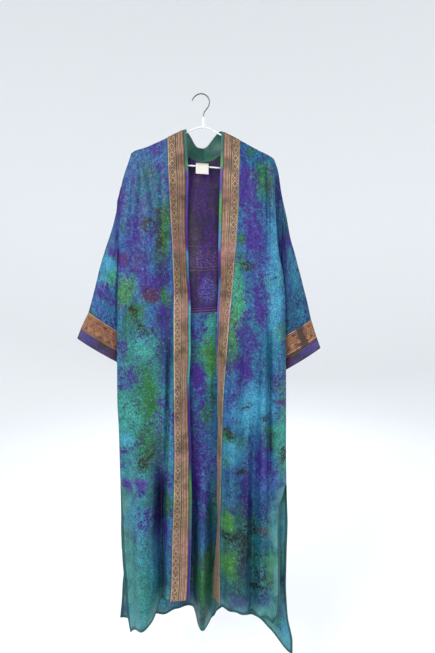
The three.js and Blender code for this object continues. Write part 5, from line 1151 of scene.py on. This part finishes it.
silk = silk_material("silk_overdyed_and_painted_light")
silk_sleeve = silk
brocade = brocade_material("brocade_lozenge")
dark_silk = yoke_material("silk_dark")
green_silk = plain_silk("silk_green", srgb(34, 104, 92), srgb(46, 122, 104), srgb(28, 66, 84), seam_u=(0.0012, 0.0568), dyed_mesh=True)
hem_silk = plain_silk("silk_hem", srgb(52, 40, 112), srgb(58, 20, 62), srgb(34, 24, 20), patchy=True)
roll_silk = plain_silk("silk_roll", srgb(14, 74, 70), srgb(20, 88, 70), srgb(20, 44, 80))
label_cloth = label_material("label_white")
plastic = plastic_material("plastic_white")
steel = steel_material("steel_wire")

# ---------------------------------------------------------------- the robe
def undulate(grid, seed, amount):
    """Slight unevenness of hanging silk: long down the cloth, short across it."""
    p = grid.reshape(-1, 3)
    q = np.stack([p[:, 0], np.full(len(p), seed * 53.0), p[:, 2] * 0.22], axis=1)
    n = noise(q, 1 / 34, seed, 2, 0.45)
    q2 = np.stack([p[:, 0] * 0.8 + p[:, 2] * 0.25, np.full(len(p), seed * 71.0), p[:, 2] * 0.5 - p[:, 0] * 0.1], axis=1)
    m = noise(q2, 1 / 21, seed + 9, 2, 0.5)
    return ((n + 0.45 * m) * amount).reshape(grid.shape[:2])

def ease(n, count, width):
    """0 at the first and last of n columns or rows, 1 inside."""
    k = np.arange(n)
    return smooth(0, width, k) * smooth(0, width, n - 1 - k)

fronts, yoke = {}, yoke_grid()
for hand in ("left", "right"):
    fronts[hand] = front_grid(hand)

# fronts: creases fade at the seams and on top of the shoulder
panel = {}
for hand in ("left", "right"):
    grid, seam = fronts[hand]
    R, C = grid.shape[:2]
    x, z = grid[:, :, 0], grid[:, :, 2]
    drop = np.maximum(0, shoulder_z(x) - z)
    cols = smooth(0, 5, np.arange(C))[None, :] * np.ones((R, 1))
    side = 1 - smooth(C - 6, C - 1, np.arange(C))[None, :] * (z > SLIT_TOP - 120)
    fade = cols * side * smooth(4, 60, drop)
    move = creases_at(CREASES["front_" + hand], x, z) + undulate(grid, 11 if hand == "left" else 12, 1.7) * smooth(20, 400, drop)
    grid = grid.copy()
    grid[:, :, 1] -= move * fade
    panel[hand] = grid
    dye, speck = dyed(grid, PATCHES["front_" + hand], 3 if hand == "left" else 4)
    uu, vv = lengths(grid)
    uv = (uu, np.repeat(-vv[:, None], C, axis=1) + (0.0 if hand == "left" else 3.0))
    ob = shell(f"front_panel_{hand}_silk", grid, CLOTH, silk, uv, dye, speck, up=(0, -1, 0),
               rim=rim_of(grid, ("last",), N_ARM + N_SLIT))
    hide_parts(f"front_panel_{hand}")
    panel[hand + "_ob"] = ob

# upper back
R, C = yoke.shape[:2]
x, z = yoke[:, :, 0], yoke[:, :, 2]
drop = np.maximum(0, shoulder_z(x) - z)
fade = smooth(6, 90, drop) * (ease(C, 0, 7)[None, :] * np.ones((R, 1)))
seam_fade = smooth(0, 30, z - yoke_seam(x))
back = yoke.copy()
move = creases_at(CREASES["back"], x, z) + undulate(yoke, 21, 1.5) * smooth(20, 300, drop)
back[:, :, 1] -= move * fade
dye, speck = dyed(back, PATCHES["yoke"], 6, base=("plum", "black", "indigo", "purple"))
uv = (back[:, :, 0] / 1000, back[:, :, 2] / 1000)
yoke_ob = shell("back_yoke_silk", back, CLOTH, dark_silk, uv, dye, speck, up=(0, 1, 0))
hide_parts("back_yoke")

# lower back
skirt = skirt_grid()
R, C = skirt.shape[:2]
x, z = skirt[:, :, 0], skirt[:, :, 2]
drop = np.maximum(0, shoulder_z(x) - z)
side = ease(C, 0, 7)[None, :] * (z > SLIT_TOP - 120) + (z <= SLIT_TOP - 120)
move = (creases_at(CREASES["back"], x, z) + undulate(skirt, 21, 1.7) * smooth(20, 300, drop)) * side
skirt2 = skirt.copy()
skirt2[:, :, 1] -= move
random_back = []
rng = np.random.default_rng(41)
for _ in range(46):
    cx, cz = rng.uniform(-260, 260), rng.uniform(-1640, -620)
    name = ["green", "sky", "violet", "teal2", "violet", "olive", "green2", "purple", "indigo", "teal2", "blue"][rng.integers(0, 11)]
    lean = rng.uniform(-28, 28)
    for _ in range(4):
        bx, bz = cx + rng.normal(0, 20), cz + rng.normal(0, 34)
        rx, rz = rng.uniform(9, 30), rng.uniform(16, 52)
        if abs(bx) - rx < 62:
            continue
        random_back.append((bx, bz, rx, rz, lean + rng.uniform(-20, 20), name, rng.uniform(0.45, 0.85),
                            1 if name in ("olive", "violet", "indigo") else 0))
dye, speck = dyed(skirt2, random_back + PATCHES["back"], 5)
uu, vv = lengths(skirt2)
uv = (uu + 7.0, np.repeat(-vv[:, None], C, axis=1))
skirt_ob = shell("back_skirt_silk", skirt2, CLOTH, silk, uv, dye, speck, up=(0, 1, 0),
                 rim=rim_of(skirt2, ("first", "last"), 118))
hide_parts("back_skirt")

# neckbands and their borders
STRIP = {
    "left": [(-80, "collar"), (-165, "collar"), (-190, "green"), (-225, "violet"), (-300, "indigo"), (-345, "purple"), (-425, "violet"),
             (-440, "sky"), (-505, "teal"), (-530, "violet"), (-575, "violet"), (-600, "sky"), (-660, "teal2"), (-800, "teal2"),
             (-830, "blue"), (-870, "violet"), (-1060, "indigo"), (-1120, "green"), (-1300, "indigo"), (-1480, "indigo")],
    "right": [(-80, "collar"), (-165, "collar"), (-190, "green"), (-215, "violet"), (-262, "indigo"), (-285, "green"), (-350, "green"),
              (-375, "teal"), (-425, "blue"), (-445, "violet"), (-500, "indigo"), (-530, "blue"), (-600, "lilac"), (-700, "violet"),
              (-820, "teal"), (-960, "green"), (-1100, "deepteal"), (-1240, "green"), (-1400, "green"), (-1480, "teal")],
}
ACROSS = np.r_[0, 0.8, BORDER_FROM, np.linspace(5, 45, 11), BORDER_TO, 51, 53, 55.5, BAND]
for hand in ("left", "right"):
    out = -1 if hand == "left" else 1
    band = band_grid(hand, fronts[hand][1], ACROSS)
    R, C = band.shape[:2]
    n = normals_of(band)
    mid = R // 3
    if n[mid, 0].dot((0, -1, 0)) < 0:
        n = -n
    # the two halves meet squarely at the back
    # the band waves a little where it hangs free
    v = np.r_[0, np.cumsum(np.linalg.norm(np.diff(band[:, 0], axis=0), axis=1))]
    free = smooth(0, 300, v) * smooth(0, 500, v[-1] - v)
    wave = (1.6 * np.sin(v / 61 + (0 if hand == "left" else 2)) + 1.1 * np.sin(v / 23 + 1)) * free
    lift = wave[:, None] * smooth(4, 50, ACROSS)[None, :]
    band = band + n * lift[:, :, None]
    n = normals_of(band)
    if n[mid, 0].dot((0, -1, 0)) < 0:
        n = -n
    uv = (np.repeat(ACROSS[None, :] / 1000, R, axis=0), np.repeat(v[:, None] / 1000, C, axis=1) + (0 if hand == "left" else 5.0))
    ob = shell(f"neckband_{hand}_silk", band, CLOTH, green_silk, uv, by_height(band, STRIP[hand], 61 if hand == "left" else 62))
    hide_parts(f"neckband_{hand}")
    # border: from the same points, moved out; its lower end is folded back on itself
    fold = 0.9 * (1 - smooth(30, 34, v))
    cut = slice(2, 15)
    outer = band[:, cut] + n[:, cut] * (1.15 + fold)[:, None, None]
    outer[-1, :, 0] = 4
    uvb = (np.repeat((ACROSS[cut][None, :] - BORDER_FROM) / 1000, R, axis=0), np.repeat(v[:, None] / 1000, outer.shape[1], axis=1))
    bo = shell(f"border_{hand}_brocade", outer, CLOTH, brocade, uvb)
    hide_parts(f"border_{hand}")
    panel["band_" + hand] = ob
    panel["border_" + hand] = bo

# sleeves and cuffs
for hand in ("left", "right"):
    fe = panel[hand][: N_ARM + 1, -1]
    be = back[: N_ARM + 1, 0 if hand == "left" else -1]
    rings, shares, is_front = sleeve_rings(hand, fe, be)
    R, C = rings.shape[:2]
    n = normals_of(rings, closed=True)
    centre = rings.mean(axis=1, keepdims=True)
    if np.sum(n * (rings - centre)) < 0:
        n = -n
    v = np.r_[0, np.cumsum(np.linalg.norm(np.diff(rings[:, C // 4], axis=0), axis=1))]
    n_sleeve = 105
    along = np.arange(R) / (n_sleeve - 1)
    total = np.zeros((R, C))
    for a0, a1, e0, e1, w, depth, sidey in SLEEVE_CREASES[hand]:
        t = (along - a0) / (a1 - a0)
        e = lerp(e0, e1, np.clip(t, 0, 1))
        swell = np.where((t > 0) & (t < 1), np.sin(np.pi * np.clip(t, 0, 1)) ** 0.7, 0)
        prof = bump((shares[None, :] - e[:, None]) / w)
        total += depth * swell[:, None] * prof * ((is_front if sidey < 0 else ~is_front)[None, :])
    und = undulate(rings, 31 if hand == "left" else 32, 1.2)
    total = (total + und) * smooth(0, 0.05, along)[:, None] * (1 - 0.6 * smooth(0.97, 1.1, along))[:, None]
    rings = rings + n * total[:, :, None]
    ext = np.concatenate([rings, rings[:, :1]], axis=1)
    around = np.concatenate([np.zeros((R, 1)), np.cumsum(np.linalg.norm(np.diff(ext, axis=1), axis=2), axis=1)], axis=1)
    U, V = around / 1000, np.repeat(v[:, None], C + 1, axis=1) / 1000
    last = R - 1
    b0, b1 = n_sleeve - 1, n_sleeve - 1 + 14
    dye, speck = dyed(rings[: b0 + 1], PATCHES["sleeve_" + hand], 7 if hand == "left" else 8,
                      base=("blue", "teal", "green", "violet") if hand == "left" else ("deepteal", "teal", "blue", "indigo"))
    so = shell(f"sleeve_{hand}_silk", rings[: b0 + 1], CLOTH, silk_sleeve,
               (U[: b0 + 1] + (11 if hand == "left" else 13), -V[: b0 + 1]), dye, speck, closed=True)
    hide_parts(f"sleeve_{hand}")
    mid_row = (b0 + b1) // 2
    at = int(np.argmin(np.where(is_front, np.abs(rings[mid_row, :, 0] - (-281 if hand == "left" else 291)), 1e9)))
    # the right cuff's band of painted fold shade and stain is wider and darker than the left's
    cuff_brocade = cuff_material("brocade_floral_" + hand, float(U[mid_row, at]), *((0.010, 0.30, (1.0, 0.98, 1.0)) if hand == "left" else (0.019, 0.92, (0.66, 0.60, 0.62))))
    cb = shell(f"cuff_border_{hand}_brocade", rings[b0 : b1 + 1], CLOTH + 0.3, cuff_brocade,
               (U[b0 : b1 + 1], V[b0 : b1 + 1] - V[b0, 0]), closed=True)
    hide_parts(f"cuff_border_{hand}")
    ch = shell(f"cuff_hem_{hand}_silk", rings[b1:], CLOTH, hem_silk, (U[b1:], V[b1:] - V[b1, 0]), closed=True)
    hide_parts(f"cuff_hem_{hand}")
    panel["sleeve_" + hand], panel["cuff_" + hand], panel["strip_" + hand] = so, cb, ch

# rolled hems, from the slit's top down its edge, along the hem
def spaced(points, step):
    d = np.r_[0, np.cumsum(np.linalg.norm(np.diff(points, axis=0), axis=1))]
    w = np.linspace(0, d[-1], max(2, int(d[-1] / step)))
    return np.stack([np.interp(w, d, points[:, k]) for k in range(3)], axis=1)

for hand in ("left", "right"):
    g = panel[hand]
    path = np.vstack([g[N_ARM + N_SLIT:, -1], g[-1, ::-1][1:]])
    o = tube_mesh(f"hem_roll_front_{hand}", spaced(path, 3.2), 1.15, roll_silk, sides=6)
    panel["roll_" + hand] = o
sg = skirt2
top = 118
path = np.vstack([sg[top:, 0], sg[-1, 1:], sg[top:, -1][::-1][1:]])
panel["roll_back"] = tube_mesh("hem_roll_back", spaced(path, 3.2), 1.15, roll_silk, sides=6)

# label
rows = [(12.6, -183.5), (6.5, -186), (0, -188.5), (-5.4, -192.5), (-7.2, -199), (-7.4, -208), (-7.0, -218)]
fine = np.linspace(0, len(rows) - 1, 25)
yy = np.interp(fine, range(len(rows)), [r[0] for r in rows])
zz = np.interp(fine, range(len(rows)), [r[1] for r in rows])
t = np.linspace(0, 1, 21)
lab = np.zeros((25, 21, 3))
lab[:, :, 0] = -16 + 36 * t[None, :]
lab[:, :, 1] = yy[:, None] + 1.2 * (t[None, :] - 0.5) - 0.8 * np.sin(np.pi * t)[None, :] * smooth(3, 6, fine)[:, None]
lab[:, :, 2] = zz[:, None] - 0.06 * 36 * t[None, :]
label_ob = shell("label_blank", lab, 0.7, label_cloth)
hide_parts("label")

# hanger
def catmull(points, closed, per=14):
    P = [np.array((x, 0.0, z)) for x, z in points]
    n = len(P)
    out = []
    def get(i):
        return P[i % n] if closed else (P[0] * 2 - P[1] if i < 0 else (P[-1] * 2 - P[-2] if i >= n else P[i]))
    for i in range(n if closed else n - 1):
        p0, p1, p2, p3 = get(i - 1), get(i), get(i + 1), get(i + 2)
        t0 = 0.0
        t1 = t0 + np.linalg.norm(p1 - p0) ** 0.5
        t2 = t1 + np.linalg.norm(p2 - p1) ** 0.5
        t3 = t2 + np.linalg.norm(p3 - p2) ** 0.5
        for k in range(per):
            t = t1 + (t2 - t1) * k / per
            a1 = (t1 - t) / (t1 - t0) * p0 + (t - t0) / (t1 - t0) * p1
            a2 = (t2 - t) / (t2 - t1) * p1 + (t - t1) / (t2 - t1) * p2
            a3 = (t3 - t) / (t3 - t2) * p2 + (t - t2) / (t3 - t2) * p3
            b1 = (t2 - t) / (t2 - t0) * a1 + (t - t0) / (t2 - t0) * a2
            b2 = (t3 - t) / (t3 - t1) * a2 + (t - t1) / (t3 - t1) * a3
            out.append((t2 - t) / (t2 - t1) * b1 + (t - t1) / (t2 - t1) * b2)
    if not closed:
        out.append(P[-1])
    return np.array(out)

loop = tube_mesh("hanger_arms_bar", spaced(np.vstack([catmull(LOOP, True), catmull(LOOP, True)[:1]]), 3.0)[:-1], 1.0,
                 plastic, sides=20, closed=True, squash=(2.3, 2.9))
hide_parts("hanger_frame")
# neck: a tapered socket with a rounded mouth, built by turning its profile
profile = [(1.9, -61.4), (2.6, -61.0), (3.2, -61.3), (3.5, -62.4), (3.6, -66), (3.9, -74), (4.3, -83), (4.9, -88), (4.4, -91.5), (0.6, -92.4)]
seg = 32
verts, faces = [], []
for r, zc in profile:
    for k in range(seg):
        a = 2 * math.pi * k / seg
        verts.append(((5.5 + r * math.cos(a)) / 1000, r * math.sin(a) / 1000, zc / 1000))
inner = [(1.9, -84.0), (0.5, -84.6)]
ring0 = len(profile)
for r, zc in inner:
    for k in range(seg):
        a = 2 * math.pi * k / seg
        verts.append(((5.5 + r * math.cos(a)) / 1000, r * math.sin(a) / 1000, zc / 1000))
def rowfaces(a, b):
    for k in range(seg):
        k2 = (k + 1) % seg
        faces.append((a * seg + k, a * seg + k2, b * seg + k2, b * seg + k))
for a in range(len(profile) - 1):
    rowfaces(a, a + 1)
rowfaces(ring0, 0)
rowfaces(ring0 + 1, ring0)
faces.append(tuple(range((len(profile) - 1) * seg, len(profile) * seg)))
faces.append(tuple(range((ring0 + 1) * seg, (ring0 + 2) * seg)))
me = bpy.data.meshes.new("hanger_neck")
me.from_pydata(verts, [], faces)
import bmesh
bm = bmesh.new(); bm.from_mesh(me)
bmesh.ops.recalc_face_normals(bm, faces=bm.faces)
bm.to_mesh(me); bm.free()
me.polygons.foreach_set("use_smooth", np.ones(len(me.polygons), bool))
me.materials.append(plastic)
neck = bpy.data.objects.new("hanger_neck", me)
bpy.context.scene.collection.objects.link(neck)
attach(neck, "root")
wire = spaced(catmull(HOOK, False), 1.1)
radius = np.full(len(wire), 1.75)
tip = np.linalg.norm(wire - wire[0], axis=1)
radius = np.where(tip < 1.75, np.sqrt(np.maximum(0.02, 1.75 ** 2 - (1.75 - tip) ** 2)), radius)
hook = tube_mesh("hanger_hook_wire", wire, radius, steel, sides=16)
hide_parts("hanger_hook")

# ---------------------------------------------------------------- the area of one side of a sheet, in square metres
def area_of(ob):
    return sum(p.area for p in ob.data.polygons) / 2

# ---------------------------------------------------------------- floor, light and camera
bpy.context.scene.view_settings.view_transform = "Standard"
floor_me = bpy.data.meshes.new("floor")
# a wide pale dish, the same on every side
profile = [(0.0, -1.78), (2.0, -1.78)]
for k in range(0, 13):
    a = math.pi / 2 * k / 12
    profile.append((3.4 + 2.0 * math.sin(a), -1.78 + 2.0 * (1 - math.cos(a))))
profile.append((5.4, 5.2))
TURN = 96
fv, ff = [(0.0, 0.0, -1.78)], []
for r_, z_ in profile[1:]:
    fv += [(r_ * math.cos(2 * math.pi * t / TURN), r_ * math.sin(2 * math.pi * t / TURN), z_) for t in range(TURN)]
for t in range(TURN):
    t2 = (t + 1) % TURN
    ff.append((0, 1 + t, 1 + t2))
    for k in range(len(profile) - 2):
        ff.append((1 + k * TURN + t, 1 + (k + 1) * TURN + t, 1 + (k + 1) * TURN + t2, 1 + k * TURN + t2))
floor_me.from_pydata(fv, [], ff)
floor_me.polygons.foreach_set("use_smooth", np.ones(len(floor_me.polygons), bool))
floor = bpy.data.objects.new("floor", floor_me)
bpy.context.scene.collection.objects.link(floor)
fm = bpy.data.materials.new("floor_pale")
fm.use_nodes = True
fm.node_tree.nodes["Principled BSDF"].inputs["Base Color"].default_value = (0.56, 0.57, 0.58, 1)
fm.node_tree.nodes["Principled BSDF"].inputs["Roughness"].default_value = 0.9
fm.node_tree.nodes["Principled BSDF"].inputs["Emission Color"].default_value = (0.90, 0.93, 0.97, 1)
fm.node_tree.nodes["Principled BSDF"].inputs["Emission Strength"].default_value = 0.36
floor_me.materials.append(fm)

world = bpy.data.worlds.new("studio")
bpy.context.scene.world = world
world.use_nodes = True
world.node_tree.nodes["Background"].inputs["Color"].default_value = (0.86, 0.90, 0.96, 1)
world.node_tree.nodes["Background"].inputs["Strength"].default_value = 0.38

def area(name, at, look, size, energy, colour=(1, 1, 1)):
    d = bpy.data.lights.new(name, "AREA")
    d.shape = "RECTANGLE"
    d.size, d.size_y = size
    d.energy = energy
    d.color = colour
    o = bpy.data.objects.new(name, d)
    bpy.context.scene.collection.objects.link(o)
    from mathutils import Vector
    o.location = at
    o.rotation_euler = (Vector(look) - Vector(at)).to_track_quat("-Z", "Y").to_euler()
    return o

area("key", (-1.9, -2.6, 0.9), (0, 0, -0.8), (1.3, 1.6), 92, (1.0, 0.985, 0.96))
area("fill", (2.2, -2.4, -0.6), (0, 0, -0.9), (1.8, 2.2), 36, (0.92, 0.96, 1.0))
area("back", (0.4, 2.6, 1.0), (0, 0, -0.7), (2.0, 2.0), 80, (0.95, 0.98, 1.0))

cam = bpy.data.cameras.new("camera")
cam.sensor_fit = "AUTO"
cam.sensor_width = 36
cam.lens = 27.07
co = bpy.data.objects.new("camera", cam)
bpy.context.scene.collection.objects.link(co)
co.location = (0.045, -1.42, -0.535)
co.rotation_euler = (math.radians(85.35), 0, 0)
bpy.context.scene.camera = co

bpy.context.view_layer.update()
